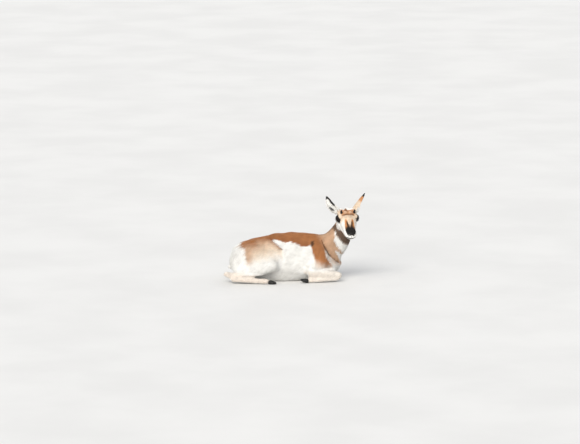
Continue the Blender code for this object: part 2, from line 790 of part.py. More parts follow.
def main():
    clear_scene()
    coat = material("coat", (0.42, 0.20, 0.08), 0.85)
    pale = material("pale_coat", (0.82, 0.80, 0.76), 0.85)
    horn = material("horn", (0.03, 0.028, 0.026), 0.45)
    glassy = material("eye", (0.02, 0.012, 0.008), 0.08)

    flesh = whole_flesh()
    fine = thinned(copied(flesh, "fine"), FINE_FLESH)
    for side in (-1, 1):
        combine(fine, eyeball("lid", side, LID), "UNION")
    plain = thinned(copied(flesh, "plain"), PLAIN_FLESH)
    nodes = flesh_nodes(fine, plain)

    claws = []
    for word, side in {"right": -1, "left": 1}.items():
        for leg, points, sole_down in (
            ("foreleg", foreleg_points(side), False),
            ("hindleg", hindleg_points(side), True),
        ):
            made = claw_pieces(f"claw_{leg}_{word}", points, sole_down)
            for claw in made:
                combine(claw, box("ground", (-1, -1, -1), (1, 1, 0.0)), "DIFFERENCE")
                combine(nodes[f"{leg}_{word}"], grown(copied(claw, "seat"), GAP), "DIFFERENCE")
            combine(made[1], grown(copied(made[0], "seat"), GAP), "DIFFERENCE")
            largest_body(nodes[f"{leg}_{word}"])
            claws += made

    fine_skin = grown(fine, SEAT_GAP)
    plain_skin = grown(copied(plain, "plain_skin"), GAP)
    ears = [
        seated(ear_piece("ear_right", -1, *EAR_RIGHT), fine_skin),
        seated(ear_piece("ear_left", 1, *EAR_LEFT), fine_skin),
    ]
    horns = [seated(horn_piece("horn_right", -1), fine_skin), seated(horn_piece("horn_left", 1), fine_skin)]
    tail = seated(tail_piece(), plain_skin)
    detailed_head(nodes["head"])
    eyes = [eyeball("eye_right", -1), eyeball("eye_left", 1)]

    rng = random.Random(23)
    rump = nodes["rump"]
    locks = tail_tuft(tail, rng)
    fused(tail, locks, [rump])
    fused(rump, rump_patch(plain, rng), [tail, nodes["torso"], nodes["hindleg_right"], nodes["hindleg_left"]])
    fused(nodes["neck"], mane(plain, rng), [nodes["head"], nodes["torso"]] + ears)

    for thing in list(nodes.values()) + ears:
        finished(thing, coat)
    for thing in (tail, nodes["rump"]):
        finished(thing, pale)
    for thing in horns + claws:
        finished(thing, horn)
    for thing in eyes:
        finished(thing, glassy)
    removed(flesh, plain, fine_skin, plain_skin)
    settled(list(nodes.values()) + ears + horns + claws + eyes + [tail])


main()
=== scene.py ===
import math

import bpy
import numpy as np
from bpy.props import FloatProperty, FloatVectorProperty, IntProperty, PointerProperty
from mathutils import Matrix, Vector


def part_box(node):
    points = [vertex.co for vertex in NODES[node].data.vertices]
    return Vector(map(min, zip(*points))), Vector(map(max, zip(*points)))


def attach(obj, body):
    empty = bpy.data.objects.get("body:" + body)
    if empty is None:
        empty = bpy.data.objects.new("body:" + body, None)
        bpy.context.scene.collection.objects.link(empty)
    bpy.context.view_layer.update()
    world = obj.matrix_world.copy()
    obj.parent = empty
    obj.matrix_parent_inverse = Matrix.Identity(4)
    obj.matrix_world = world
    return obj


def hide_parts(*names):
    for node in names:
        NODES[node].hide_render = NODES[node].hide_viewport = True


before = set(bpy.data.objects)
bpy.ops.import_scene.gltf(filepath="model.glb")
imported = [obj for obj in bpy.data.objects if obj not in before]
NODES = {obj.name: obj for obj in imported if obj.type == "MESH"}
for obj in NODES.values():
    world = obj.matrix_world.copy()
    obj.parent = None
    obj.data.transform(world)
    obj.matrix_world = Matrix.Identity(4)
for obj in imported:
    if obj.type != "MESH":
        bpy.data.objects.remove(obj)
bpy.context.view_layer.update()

bl_info = {
    "name": "Pronghorn doe",
    "version": (1, 0, 0),
    "blender": (4, 5, 0),
    "location": "3D View > Sidebar > Pronghorn",
    "description": "Dresses the solids of a lying pronghorn doe in skin, coat, eyes, horns and hooves",
    "category": "Object",
}

SIDES = {"right": -1, "left": 1}
LEGS = [f"{leg}_{word}" for leg in ("foreleg", "hindleg") for word in SIDES]
FLESH = ["head", "neck", "torso", "rump", "tail"] + LEGS
EYE_NODES = [f"eye_{word}" for word in SIDES]


def middle_of(node):
    low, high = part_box(node)
    return (low + high) / 2


# The head's own frame: X out of the muzzle, Y to the doe's left and Z out of the crown
EYES = {word: middle_of(f"eye_{word}") for word in SIDES}
EYES_MIDDLE = (EYES["right"] + EYES["left"]) / 2
EYE_RADIUS = max(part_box("eye_right")[1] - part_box("eye_right")[0]) / 2
MUZZLE_WAY = Vector((0.158, -0.816, -0.561)).normalized()
LEFT_WAY = Vector((0, 0, 1)).cross(MUZZLE_WAY).normalized()
CROWN_WAY = MUZZLE_WAY.cross(LEFT_WAY)
HEAD_TURN = Matrix((MUZZLE_WAY, LEFT_WAY, CROWN_WAY)).transposed()

# The body's own frame: X from tail to chest, Y to the doe's left, and where the eyes are in it
EYES_IN_BODY = Vector((0.459, -0.090, 0.473))
BODY_ORIGIN = EYES_MIDDLE - EYES_IN_BODY

# The cut between head and neck, in the body's frame
HEAD_CUT = Vector((0.45, -0.060, 0.385))
HEAD_CUT_WAY = Vector((0, -0.80, 0.60))

# The middle line of each limb from elbow or stifle to hoof, in the body's frame, on the doe's left
FORELEG_LINE = (
    (0.178, 0.132, 0.086), (0.384, 0.116, 0.054), (0.384, 0.120, 0.030), (0.170, 0.155, 0.019))
HINDLEG_LINE = (
    (-0.066, 0.144, 0.146), (-0.410, 0.160, 0.058), (-0.385, 0.175, 0.034), (-0.120, 0.202, 0.019))
FAR_SHIFT = {"foreleg": Vector((-0.026, 0, 0)), "hindleg": Vector((0.03, -0.012, 0))}

# How far below the eyes the lips meet, in front and at their corners, where the nostrils open, and
# where the muzzle's finer mesh starts and how low it reaches. Then half the lids' opening each way,
# and how tall its lower half is beside its upper half
LIP_FRONT = -0.0240
LIP_CORNER = -0.0385
NOSTRIL = (0.174, 0.0195, -0.0015)
MUZZLE_START = 0.098
CHIN_LOW = -0.050
LID_HALF_LONG = 0.0195
LID_HALF_TALL = 0.0150
LOWER_LID = 0.92

# How finely each piece is meshed, and how far apart the horns' rings are
SKIN_VOXEL = 0.0054
EAR_VOXEL = 0.0018
HORN_VOXEL = 0.0008
HOOF_VOXEL = 0.0011
HORN_RING = 0.0034

# How far copies of the solids swell so that neighbours meet, how near each other points are welded,
# how near the floor hair may come, and how often the skin and the lie of its hair are smoothed
SWELL = 0.0006
WELD = 0.00001
FLOOR_GAP = 0.0004
SOFT_ROUNDS = 70
LIE_ROUNDS = 12
BAKE_MAP = "OFBake"

# A tuft's width in the unwrapped map, how far the finer mesh and the short hair round an eye reach in
# eyeball radii, and tufts on a square metre of the nape, the rump patch, the crown, the ears and the lids
PATCH = 0.003
NEAR_EYE = 1.55
MANE_TUFTS = 130000
RUMP_TUFTS = 80000
CROWN_TUFTS = 320000
EAR_TUFTS = 240000
LASH_TUFTS = 420000.0


def in_body(points):
    return points - np.array(BODY_ORIGIN)


def in_head(points):
    return (points - np.array(EYES_MIDDLE)) @ np.array(HEAD_TURN)


def from_head(ways):
    return ways @ np.array(HEAD_TURN).T


def ease(value, start, end):
    """0 up to start and 1 from end on, with a smooth way between. Start may be above end."""
    share = np.clip((value - start) / (end - start), 0.0, 1.0)
    return share * share * (3 - 2 * share)


def bump(value, middle, half):
    """1 at the middle, and 0 from half away on."""
    return 1 - ease(np.abs(value - middle), 0.0, half)


def mound(*spans):
    """1 at a place and falling away smoothly. Each span is a measure, its middle and its reach."""
    return np.exp(-sum(((value - middle) / reach) ** 2 for value, middle, reach in spans))


def unit(vectors):
    return vectors / np.maximum(np.linalg.norm(vectors, axis=1, keepdims=True), 1e-9)


def flattened(ways, normals):
    """The ways laid into the surface."""
    return unit(ways - normals * np.sum(ways * normals, axis=1, keepdims=True))


def ripple(points, size, seed):
    """Smooth noise of about -1 to 1, as a sum of plane waves of about this length."""
    rng = np.random.default_rng(seed)
    waves = rng.normal(size=(12, 3)) * (3.6 / size)
    turns = rng.uniform(0, 2 * math.pi, 12)
    return np.sin(points @ waves.T + turns).sum(1) / 3.4


def from_line(points, line):
    """Each point's distance from a broken line, and the nearest place along it from 0 to 1."""
    best = np.full(len(points), np.inf)
    along = np.zeros(len(points))
    corners = [np.array(corner, float) for corner in line]
    for k, (a, b) in enumerate(zip(corners, corners[1:])):
        t = np.clip(((points - a) @ (b - a)) / ((b - a) @ (b - a)), 0, 1)
        gap = np.linalg.norm(points - a - t[:, None] * (b - a), axis=1)
        near = gap < best
        best[near] = gap[near]
        along[near] = (k + t[near]) / (len(corners) - 1)
    return best, along


def within(points, corners):
    """How far inside an outline each point of a plane lies, negative outside it."""
    ring = [*corners, corners[0]]
    gap, _ = from_line(points, ring)
    inside = np.zeros(len(points), bool)
    for (ax, ay), (bx, by) in zip(ring, ring[1:]):
        if ay != by:
            crosses = (points[:, 1] > ay) != (points[:, 1] > by)
            inside ^= crosses & (points[:, 0] < (bx - ax) * (points[:, 1] - ay) / (by - ay) + ax)
    return np.where(inside, gap, -gap)


def patch(points, corners, soft, ragged=0.004, seed=1):
    """1 inside an outline and 0 outside it, with a soft and slightly ragged edge."""
    depth = within(points[:, [0, 2]], corners) + ragged * ripple(points, 0.02, seed)
    return ease(depth, -soft, soft)


def headness(p):
    """1 on the head and 0 on the neck, for points in the body's frame."""
    return ease((p - np.array(HEAD_CUT)) @ np.array(HEAD_CUT_WAY), -0.006, 0.010)


def off_lips(q):
    """How far above the line of the mouth each point lies, in the head's frame."""
    share = np.clip((0.178 - q[:, 0]) / 0.086, 0, 1)
    return q[:, 2] - (LIP_FRONT + (LIP_CORNER - LIP_FRONT) * np.sin(share * math.pi / 2))


def limb_lines():
    """Each leg's middle line, in the body's frame, by the leg's name."""
    lines = {}
    for leg, line in (("foreleg", FORELEG_LINE), ("hindleg", HINDLEG_LINE)):
        for word, side in SIDES.items():
            far = FAR_SHIFT[leg] if side > 0 else Vector()
            lines[f"{leg}_{word}"] = [(x + far.x, side * (y + far.y), z) for x, y, z in line]
    return lines


def limb_field(p):
    """Each point's distance from the nearest limb's line, and the way to the hoof there."""
    nearest = np.full(len(p), np.inf)
    way = np.zeros((len(p), 3))
    for line in limb_lines().values():
        for a, b in zip(line, line[1:]):
            gap, _ = from_line(p, (a, b))
            near = gap < nearest
            nearest[near] = gap[near]
            way[near] = np.array(b) - np.array(a)
    return nearest, unit(way)


def sight(word):
    """The eye's own frame: Z looks out of the eye and X runs along the lids to the front corner."""
    side = SIDES[word]
    look = Vector((0.47, side * 0.87, 0.15)).normalized()
    along = Vector((0.95, 0, -0.25))
    along = (along - look * along.dot(look)).normalized()
    turn = Matrix((along, look.cross(along), look)).transposed()
    return HEAD_TURN @ turn


def eye_field(points, word):
    """Each point in the eye's frame, and its place over the lids' opening, which is 1 on their edge."""
    local = (points - np.array(EYES[word])) @ np.array(sight(word))
    away = np.maximum(np.linalg.norm(local, axis=1), 1e-6)
    out = local / away[:, None]
    upper = out[:, 1] * SIDES[word] > 0
    tall = np.where(upper, LID_HALF_TALL, LID_HALF_TALL * LOWER_LID)
    place = np.hypot(out[:, 0] * EYE_RADIUS / LID_HALF_LONG, out[:, 1] * EYE_RADIUS / tall)
    return local, away, np.where(out[:, 2] > 0, place, 9.0)


def sums(operation, swapped=False):
    """An arithmetic method of Wire. A swapped one takes its own value second."""
    def made(self, other):
        pair = (other, self) if swapped else (self, other)
        return self.look.node("ShaderNodeMath", {"operation": operation}, dict(enumerate(pair)))
    return made


class Wire:
    """A node's output. Arithmetic on it adds Math nodes to its material."""

    def __init__(self, look, out):
        self.look = look
        self.out = out

    __add__, __radd__ = sums("ADD"), sums("ADD", True)
    __sub__, __rsub__ = sums("SUBTRACT"), sums("SUBTRACT", True)
    __mul__, __rmul__ = sums("MULTIPLY"), sums("MULTIPLY", True)
    __truediv__, __pow__ = sums("DIVIDE"), sums("POWER")

    def between(self, start, end):
        """0 at start and 1 at end, held at both."""
        sockets = {"Value": self, "From Min": start, "From Max": end}
        return self.look.node("ShaderNodeMapRange", {"interpolation_type": "SMOOTHSTEP"}, sockets)


class Look:
    """A material built from nodes, round one Principled shader."""

    def __init__(self, name):
        self.material = bpy.data.materials.new(name)
        self.material.use_nodes = True
        self.tree = self.material.node_tree
        self.shader = self.tree.nodes["Principled BSDF"]

    def node(self, kind, settings=None, sockets=None, out=0):
        """Any node: its settings first, then the values or links of its sockets."""
        made = self.tree.nodes.new(kind)
        for key, value in (settings or {}).items():
            setattr(made, key, value)
        for key, value in (sockets or {}).items():
            self.join(made.inputs[key], value)
        return Wire(self, made.outputs[out])

    def join(self, socket, value):
        if isinstance(value, Wire):
            self.tree.links.new(value.out, socket)
        else:
            socket.default_value = value

    def shade(self, **values):
        """Sets the shader's sockets, whose names have spaces for underscores."""
        for name, value in values.items():
            if name in ("Base_Color", "Emission_Color") and not isinstance(value, Wire):
                value = (*value, 1.0)
            self.join(self.shader.inputs[name.replace("_", " ")], value)

    def attribute(self, name, out="Fac"):
        return self.node("ShaderNodeAttribute", {"attribute_name": name}, out=out)

    def place(self):
        return self.node("ShaderNodeTexCoord", out="Object")

    def noise(self, scale, detail=3.0, vector=None):
        sockets = {"Scale": scale, "Detail": detail, "Vector": vector or self.place()}
        return self.node("ShaderNodeTexNoise", {}, sockets)

    def grain(self, scale):
        return self.node("ShaderNodeTexVoronoi", {}, {"Scale": scale, "Vector": self.place()})

    def blend(self, factor, first, second, way="MIX"):
        """Two colours mixed, each a wire or three numbers."""
        first, second = (v if isinstance(v, Wire) else (*v, 1.0) for v in (first, second))
        settings = {"data_type": "RGBA", "blend_type": way}
        return self.node("ShaderNodeMix", settings, {0: factor, 6: first, 7: second}, out=2)

    def tones(self, factor, name, low, high):
        """Between a darker and a paler tone of one of the doe's colours."""
        return self.blend(factor, *(tuple(np.minimum(colour(name) * share, 1)) for share in (low, high)))

    def relief(self, height, strength, distance):
        sockets = {"Height": height, "Strength": strength, "Distance": distance}
        self.shade(Normal=self.node("ShaderNodeBump", {}, sockets))


def span(default, name, description, low=0.0, high=0.12):
    return FloatProperty(
        name=name, description=description, default=default, min=low, max=high,
        subtype="DISTANCE", unit="LENGTH")


def crowd(default, name, description):
    return IntProperty(name=name, description=description, default=default, min=1000)


def hue(default, name, description):
    return FloatVectorProperty(
        name=name, description=description, default=default, subtype="COLOR", min=0, max=1)


class DoeSizes(bpy.types.PropertyGroup):
    """Sizes of the coat and how densely it grows."""

    body_hair: span(0.021, "Body hair", "Length of a tuft on the flanks")
    face_hair: span(0.0095, "Face hair", "Length of a tuft on the forehead")
    leg_hair: span(0.012, "Leg hair", "Length of a tuft on the shanks")
    rump_hair: span(0.040, "Rump hair", "Length of the hair of the rump patch")
    mane_hair: span(0.046, "Mane hair", "Length of the hair down the nape")
    coat_depth: span(0.0070, "Coat depth", "How far the skin lies inside the solids on the flanks")
    body_tufts: crowd(98000, "Body tufts", "Tufts on a square metre of the flanks")
    face_tufts: crowd(420000, "Face tufts", "Tufts on a square metre of the face")
    leg_tufts: crowd(150000, "Leg tufts", "Tufts on a square metre of the shanks")


class DoeColours(bpy.types.PropertyGroup):
    """Colours of the coat and of the bare parts."""

    # Mane and deep russet are also painted as shade in the creases, the fold and under the brow; white and
    # cream as highlight on the crown and the brow
    russet: hue((0.470, 0.195, 0.072), "Russet", "The back and the shoulders")
    deep_russet: hue((0.250, 0.085, 0.030), "Deep russet", "The lower edge of the back's colour")
    tan: hue((0.610, 0.390, 0.250), "Tan", "The neck and the haunch")
    cream: hue((0.820, 0.660, 0.500), "Cream", "The face and the haunch lower down")
    white: hue((0.940, 0.925, 0.890), "White", "The flanks, the rump patch, the throat and the cheeks")
    orange: hue((0.600, 0.240, 0.070), "Orange", "The stripes of the face and the brow")
    grey_brown: hue((0.150, 0.095, 0.065), "Grey brown", "The collar under the jaw")
    mane: hue((0.105, 0.050, 0.026), "Mane", "The hair down the nape")
    black: hue((0.012, 0.010, 0.009), "Black", "The nose, the ears' tips and the rims of the eyes")
    iris: hue((0.009, 0.004, 0.003), "Iris", "The eye round its pupil")
    horn: hue((0.010, 0.009, 0.008), "Horn", "The horns and the hooves")
    floor: hue((0.780, 0.765, 0.740), "Floor", "The floor it rests on")


class DoeStage(bpy.types.PropertyGroup):
    """The camera and the light."""

    far: span(25.0, "Distance", "How far the camera stands", 1, 200)
    height: FloatProperty(
        name="Height", description="How far above the horizon the camera stands",
        default=math.radians(10), subtype="ANGLE", unit="ROTATION")
    across: span(4.292, "Width of view", "How much of the surroundings the picture takes in", 0.1, 100)
    key: FloatProperty(name="Key light", description="Strength of the main light", default=2.55, min=0)
    fill: FloatProperty(name="Fill", description="Strength of the light from all round", default=0.60, min=0)


def sizes():
    return bpy.context.scene.doe_sizes


def colour(name):
    return np.array(getattr(bpy.context.scene.doe_colours, name)[:])


def paint(coat, share, shade):
    """Lays a colour over the coat, by each point's share of it."""
    coat += share[:, None] * (colour(shade) - coat)


def only(*things):
    bpy.ops.object.select_all(action="DESELECT")
    for thing in things:
        thing.select_set(True)
    bpy.context.view_layer.objects.active = things[0]


def apply(thing, kind, **settings):
    """Adds a modifier and makes it part of the mesh."""
    only(thing)
    step = thing.modifiers.new(kind.title(), kind)
    for key, value in settings.items():
        setattr(step, key, value)
    bpy.ops.object.modifier_apply(modifier=step.name)


def read(collection, key, width):
    flat = np.empty(len(collection) * width, np.float32)
    collection.foreach_get(key, flat)
    return flat.reshape(-1, width).astype(float) if width > 1 else flat.astype(float)


def places(thing):
    return read(thing.data.vertices, "co", 3)


def normals(thing):
    return read(thing.data.vertex_normals, "vector", 3)


def set_places(thing, points):
    thing.data.vertices.foreach_set("co", points.astype(np.float32).ravel())
    thing.data.update()


def set_group(thing, name, weights):
    group = thing.vertex_groups.new(name=name)
    for index, weight in enumerate(weights):
        group.add([index], float(weight), "REPLACE")


def set_colours(mesh, shades):
    layer = mesh.color_attributes.new("coat", "FLOAT_COLOR", "POINT")
    rgba = np.ones((len(shades), 4), np.float32)
    rgba[:, :3] = shades
    layer.data.foreach_set("color", rgba.ravel())


def set_values(mesh, name, values):
    layer = mesh.attributes.new(name, "FLOAT", "POINT")
    layer.data.foreach_set("value", values.astype(np.float32))


def copy_of(name, nodes, swell=SWELL):
    """The solids named as one new mesh, each one welded and swollen a little."""
    twins = []
    for node in nodes:
        twin = bpy.data.objects.new(f"{name}_{node}", NODES[node].data.copy())
        twin.data.materials.clear()
        bpy.context.scene.collection.objects.link(twin)
        only(twin)
        bpy.ops.object.mode_set(mode="EDIT")
        bpy.ops.mesh.select_all(action="SELECT")
        bpy.ops.mesh.remove_doubles(threshold=WELD)
        bpy.ops.object.mode_set(mode="OBJECT")
        if swell:
            apply(twin, "DISPLACE", strength=swell, mid_level=0)
        twins.append(twin)
    only(*twins)
    if len(twins) > 1:
        bpy.ops.object.join()
    twins[0].name = name
    twins[0].data.name = name
    return twins[0]


def linked(name, points, faces):
    """A new piece from its points and faces."""
    mesh = bpy.data.meshes.new(name)
    mesh.from_pydata([Vector(point) for point in points], [], faces)
    piece = bpy.data.objects.new(name, mesh)
    bpy.context.scene.collection.objects.link(piece)
    return piece


def remade(piece, voxel, rounds):
    """Meshes a piece evenly and smooths it."""
    apply(piece, "REMESH", mode="VOXEL", voxel_size=voxel)
    apply(piece, "SMOOTH", factor=0.5, iterations=rounds)


def evened(field, edges, rounds):
    """A field on the vertices, averaged with its neighbours' a number of times."""
    ends = np.concatenate([edges, edges[:, ::-1]])
    count = np.bincount(ends[:, 0], minlength=len(field)) + 1.0
    for _ in range(rounds):
        total = [np.bincount(ends[:, 0], field[ends[:, 1], k], len(field)) for k in range(field.shape[1])]
        field = (field + np.stack(total, 1)) / count[:, None]
    return field


def finished(piece, look, slot, *nodes):
    """Shades a piece smooth, hands it its material, hangs it under the root and hides the solids it takes the
    place of.
    """
    piece.data.materials.clear()
    piece.data.materials.append(look)
    piece.data.polygons.foreach_set("use_smooth", np.ones(len(piece.data.polygons), bool))
    piece.data.update()
    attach(piece, "root")
    if nodes:
        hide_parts(*nodes)


# The markings, and the fold and crease lines that are dented and painted with shade, seen from the side: X
# from tail to chest and Z up, in the body's frame
BACK_EDGE = (
    (-0.400, 0.215), (-0.337, 0.248), (-0.290, 0.262), (-0.180, 0.290), (-0.096, 0.306), (0.010, 0.302),
    (0.086, 0.291), (0.132, 0.272), (0.196, 0.268), (0.208, 0.215), (0.232, 0.165), (0.290, 0.146),
    (0.337, 0.130), (0.600, 0.130))
FOLD_LINE = ((-0.110, 0.315), (-0.019, 0.246), (0.006, 0.150), (0.010, 0.000))
CREASE_LINE = ((0.275, 0.300), (0.289, 0.268), (0.333, 0.193), (0.394, 0.136))
CREASE_STRIP = (
    (0.294, 0.254), (0.304, 0.245), (0.333, 0.197), (0.394, 0.136), (0.380, 0.114), (0.345, 0.134),
    (0.336, 0.148), (0.314, 0.182), (0.296, 0.225))
RUMP_EDGE = (
    (-0.345, 0.300), (-0.337, 0.268), (-0.292, 0.260), (-0.280, 0.170), (-0.290, 0.110), (-0.330, 0.070),
    (-0.460, 0.070), (-0.560, 0.150), (-0.560, 0.250))
COLLAR = (
    (0.345, 0.440), (0.372, 0.430), (0.412, 0.385), (0.450, 0.345), (0.520, 0.330), (0.520, 0.266),
    (0.470, 0.269), (0.446, 0.277), (0.417, 0.299), (0.392, 0.332), (0.371, 0.368))
UPPER_BAND = (
    (0.371, 0.368), (0.392, 0.332), (0.417, 0.299), (0.446, 0.277), (0.470, 0.269), (0.520, 0.262),
    (0.520, 0.190), (0.436, 0.208), (0.407, 0.238), (0.381, 0.268), (0.366, 0.305))
LOWER_BAND = (
    (0.373, 0.233), (0.446, 0.198), (0.520, 0.178), (0.480, 0.130), (0.411, 0.143), (0.390, 0.190))
NAPE_LINE = ((0.436, 0.045, 0.520), (0.382, 0.018, 0.432), (0.325, 0.008, 0.372), (0.250, 0.000, 0.350))


def trunk_coat(p):
    """The coat's colour over the trunk and the neck, for points in the body's frame, with painted shade in
    the creases, at the flank's fold and behind the shoulder.
    """
    x, y, z = p.T
    coat = np.tile(colour("white"), (len(p), 1))
    floor = np.interp(x, *np.array(BACK_EDGE).T) + 0.004 * ripple(p, 0.022, 11) + 0.005 * ripple(p, 0.07, 12)
    gap, _ = from_line(p[:, [0, 2]], FOLD_LINE[:2])
    fold_x = np.interp(-z, [-q[1] for q in FOLD_LINE], [q[0] for q in FOLD_LINE])
    haunch = ease(x, fold_x + 0.012, fold_x - 0.012) * ease(x, -0.50, -0.46)
    down = floor - z
    paint(coat, 0.92 * haunch * ease(down, 0.155, 0.045), "cream")
    paint(coat, 0.80 * haunch * ease(down, 0.070, 0.0), "tan")
    paint(coat, 0.75 * haunch * bump(x, -0.262, 0.050) * ease(z, 0.115, 0.190), "tan")
    shoulder = ease(x, 0.205, 0.235) * ease(x, 0.42, 0.33)
    paint(coat, 0.70 * shoulder * ease(down, 0.070, 0.0) * ease(z, 0.075, 0.125), "tan")
    soft = 0.0035 + 0.020 * haunch + 0.022 * ease(x, 0.212, 0.240)
    brown = ease(z, floor - soft, floor + soft)
    paint(coat, brown, "russet")
    low = brown * ease(down, -0.055, -0.004) * ease(x, 0.245, 0.17) * (1 - 0.7 * haunch)
    paint(coat, 0.45 * low, "deep_russet")
    # Painted shadow in the hollow behind the shoulder blade, in the mane's dark colour
    spot = bump(x - 0.35 * (z - 0.30), 0.213, 0.020) * bump(z, 0.286, 0.030)
    paint(coat, 0.95 * ease(spot, 0.15, 0.55), "mane")
    front = patch(p, CREASE_STRIP, 0.004, seed=3)
    paint(coat, front, "white")
    neck_gap = within_neck(p)
    paint(coat, ease(neck_gap, -0.035, 0.030) * ease(z, 0.115, 0.160), "tan")
    paint(coat, 0.55 * ease(neck_gap, 0.0, 0.05) * ease(z, 0.40, 0.20), "tan")
    # Painted shadow in the crease before the shoulder, in the mane's dark colour
    crease_shadow_gap, _ = from_line(p[:, [0, 2]], CREASE_LINE)
    paint(coat, 0.88 * ease(crease_shadow_gap, 0.0095, 0.003), "mane")
    paint(coat, patch(p, COLLAR, 0.006, seed=4) * ease(x, 0.32, 0.35), "grey_brown")
    upper = patch(p, UPPER_BAND, 0.0035, seed=5)
    lower = patch(p, LOWER_BAND, 0.0035, seed=6)
    edge = patch(p, UPPER_BAND, 0.012, seed=5) + patch(p, LOWER_BAND, 0.012, seed=6)
    paint(coat, 0.50 * np.clip(edge, 0, 1) * ease(z, 0.34, 0.30), "grey_brown")
    paint(coat, np.clip(upper + lower, 0, 1), "white")
    paint(coat, ease(z, 0.135, 0.115) * ease(x, 0.33, 0.36), "white")
    # Painted shade along the fold between flank and thigh, darkest near its lower end
    paint(coat, 0.80 * ease(gap, 0.013, 0.005) * ease(z, 0.236, 0.246), "deep_russet")
    paint(coat, 0.9 * ease(gap, 0.009, 0.003) * bump(x, -0.022, 0.018), "mane")
    paint(coat, mane_share(p), "mane")
    paint(coat, patch(p, RUMP_EDGE, 0.005, 0.006, seed=7), "white")
    dorsal = bump(y, 0.0, 0.014 + 0.05 * ease(x, -0.36, -0.32)) * ease(z, 0.185, 0.25) * ease(x, -0.30, -0.34)
    paint(coat, 0.55 * dorsal, "tan")
    return coat


def within_neck(p):
    """How far past the crease of the shoulder a point of the neck lies, along the neck."""
    way = np.array((0.80, 0.0, 0.42))
    return (p - np.array((0.312, 0.0, 0.236))) @ (way / np.linalg.norm(way))


def mane_share(p):
    """The share of dark hair down the nape, from the crown to the withers."""
    gap, along = from_line(p, NAPE_LINE)
    return ease(gap, 0.040, 0.012) * (0.9 - 0.75 * along)


def head_coat(q):
    """The coat's colour over the head, for points in the head's frame, with painted highlight on the crown
    and the brow and painted shade under the brow.
    """
    x, y, z = q.T
    aside = np.abs(y)
    wavy = z + 0.0025 * ripple(q, 0.012, 21)
    coat = np.tile(colour("cream"), (len(q), 1))
    paint(coat, 0.55 * ease(x, 0.00, -0.05) * ease(wavy, -0.015, 0.02), "tan")
    paint(coat, 0.85 * ease(x, -0.055, -0.085), "tan")
    jaw_top = np.interp(x, (-0.09, -0.03, 0.05, 0.09, 0.13), (-0.030, -0.024, -0.012, 0.000, 0.004))
    paint(coat, ease(wavy, jaw_top + 0.010, jaw_top - 0.008), "white")
    paint(coat, 0.7 * ease(aside, 0.030, 0.040) * ease(x, 0.030, 0.060), "white")
    paint(coat, ease(x + 0.2 * z, -0.062, -0.080), "tan")
    brow = ease(x, -0.060, -0.050) * ease(x, 0.022, 0.012) * ease(aside, 0.052, 0.044) * ease(z, 0.015, 0.03)
    paint(coat, 0.80 * brow, "orange")
    # Painted highlight on the brow, two pale patches either side of the middle
    light = mound((x, -0.012, 0.012), (aside, 0.019, 0.011))
    paint(coat, 0.80 * brow * light, "cream")
    # Painted shade under the brow and down its middle, in the mane's dark colour
    shade = bump(x, 0.012, 0.010) * ease(aside, 0.046, 0.038) * ease(z, 0.015, 0.03)
    paint(coat, 0.78 * shade, "mane")
    paint(coat, 0.45 * brow * bump(y, 0.0, 0.007), "mane")
    paint(coat, 0.28 * bump(x, 0.030, 0.014) * ease(aside, 0.036, 0.026), "grey_brown")
    # White band over the crown: pale fur with painted sunlight on it, partly a painted highlight
    back = x + 0.002 * ripple(q, 0.02, 22)
    crown = ease(back, -0.046, -0.053) * ease(back, -0.096, -0.085)
    crown = crown * ease(aside, 0.068, 0.058) * ease(z, 0.0, 0.02)
    paint(coat, crown, "white")
    dab = mound((x, -0.044, 0.011), (y, -0.008, 0.010)) * ease(z, 0.01, 0.02)
    paint(coat, 0.85 * dab, "deep_russet")
    middle = np.interp(x, (0.030, 0.060, 0.105), (0.026, 0.024, 0.021))
    half = np.interp(x, (0.040, 0.065, 0.105), (0.0045, 0.0090, 0.0150))
    stripe = ease(np.abs(aside - middle), half + 0.003, half - 0.003) * ease(x, 0.042, 0.052)
    stripe = stripe * ease(x, 0.134, 0.122) * ease(z, -0.012, 0.002)
    paint(coat, 0.95 * stripe, "orange")
    inside = ease(aside, middle + 0.004, middle - 0.004)
    paint(coat, 0.92 * stripe * inside * ease(x, 0.056, 0.074), "black")
    paint(coat, 0.80 * stripe * ease(x, 0.094, 0.114), "mane")
    paint(coat, 0.80 * ease(aside, 0.018, 0.010) * ease(x, 0.084, 0.106) * ease(z, 0.0, 0.01), "mane")
    paint(coat, nose_share(q), "black")
    above = off_lips(q)
    paint(coat, 0.9 * ease(above, 0.012, 0.006) * ease(x, 0.06, 0.09), "white")
    thick = 0.0016 * ease(aside, 0.034, 0.024)
    lips = ease(np.abs(above + 0.0010), 0.0036 + thick, 0.0020 + thick) * ease(x, 0.092, 0.112)
    paint(coat, lips, "black")
    paint(coat, 0.85 * bump(y, 0.0, 0.0022) * ease(x, 0.160, 0.172) * ease(above, -0.001, 0.002), "black")
    return coat


def nose_share(q):
    """The share of the black mask over the nose, for points in the head's frame."""
    x, y, z = q.T
    aside = np.abs(y)
    steps = (0.0, 0.012, 0.020, 0.028, 0.036, 0.046)
    top = np.interp(aside, steps, (0.114, 0.108, 0.109, 0.118, 0.125, 0.134))
    low = np.interp(aside, (0.0, 0.008, 0.020, 0.030, 0.040), (-0.002, -0.002, -0.007, -0.003, 0.006))
    low = np.where(x < 0.150, np.maximum(low, 0.000), low)
    ragged = 0.0016 * ripple(q, 0.008, 23)
    return ease(x + ragged * 1.5, top - 0.009, top + 0.009) * ease(z + ragged, low - 0.0015, low + 0.0015)


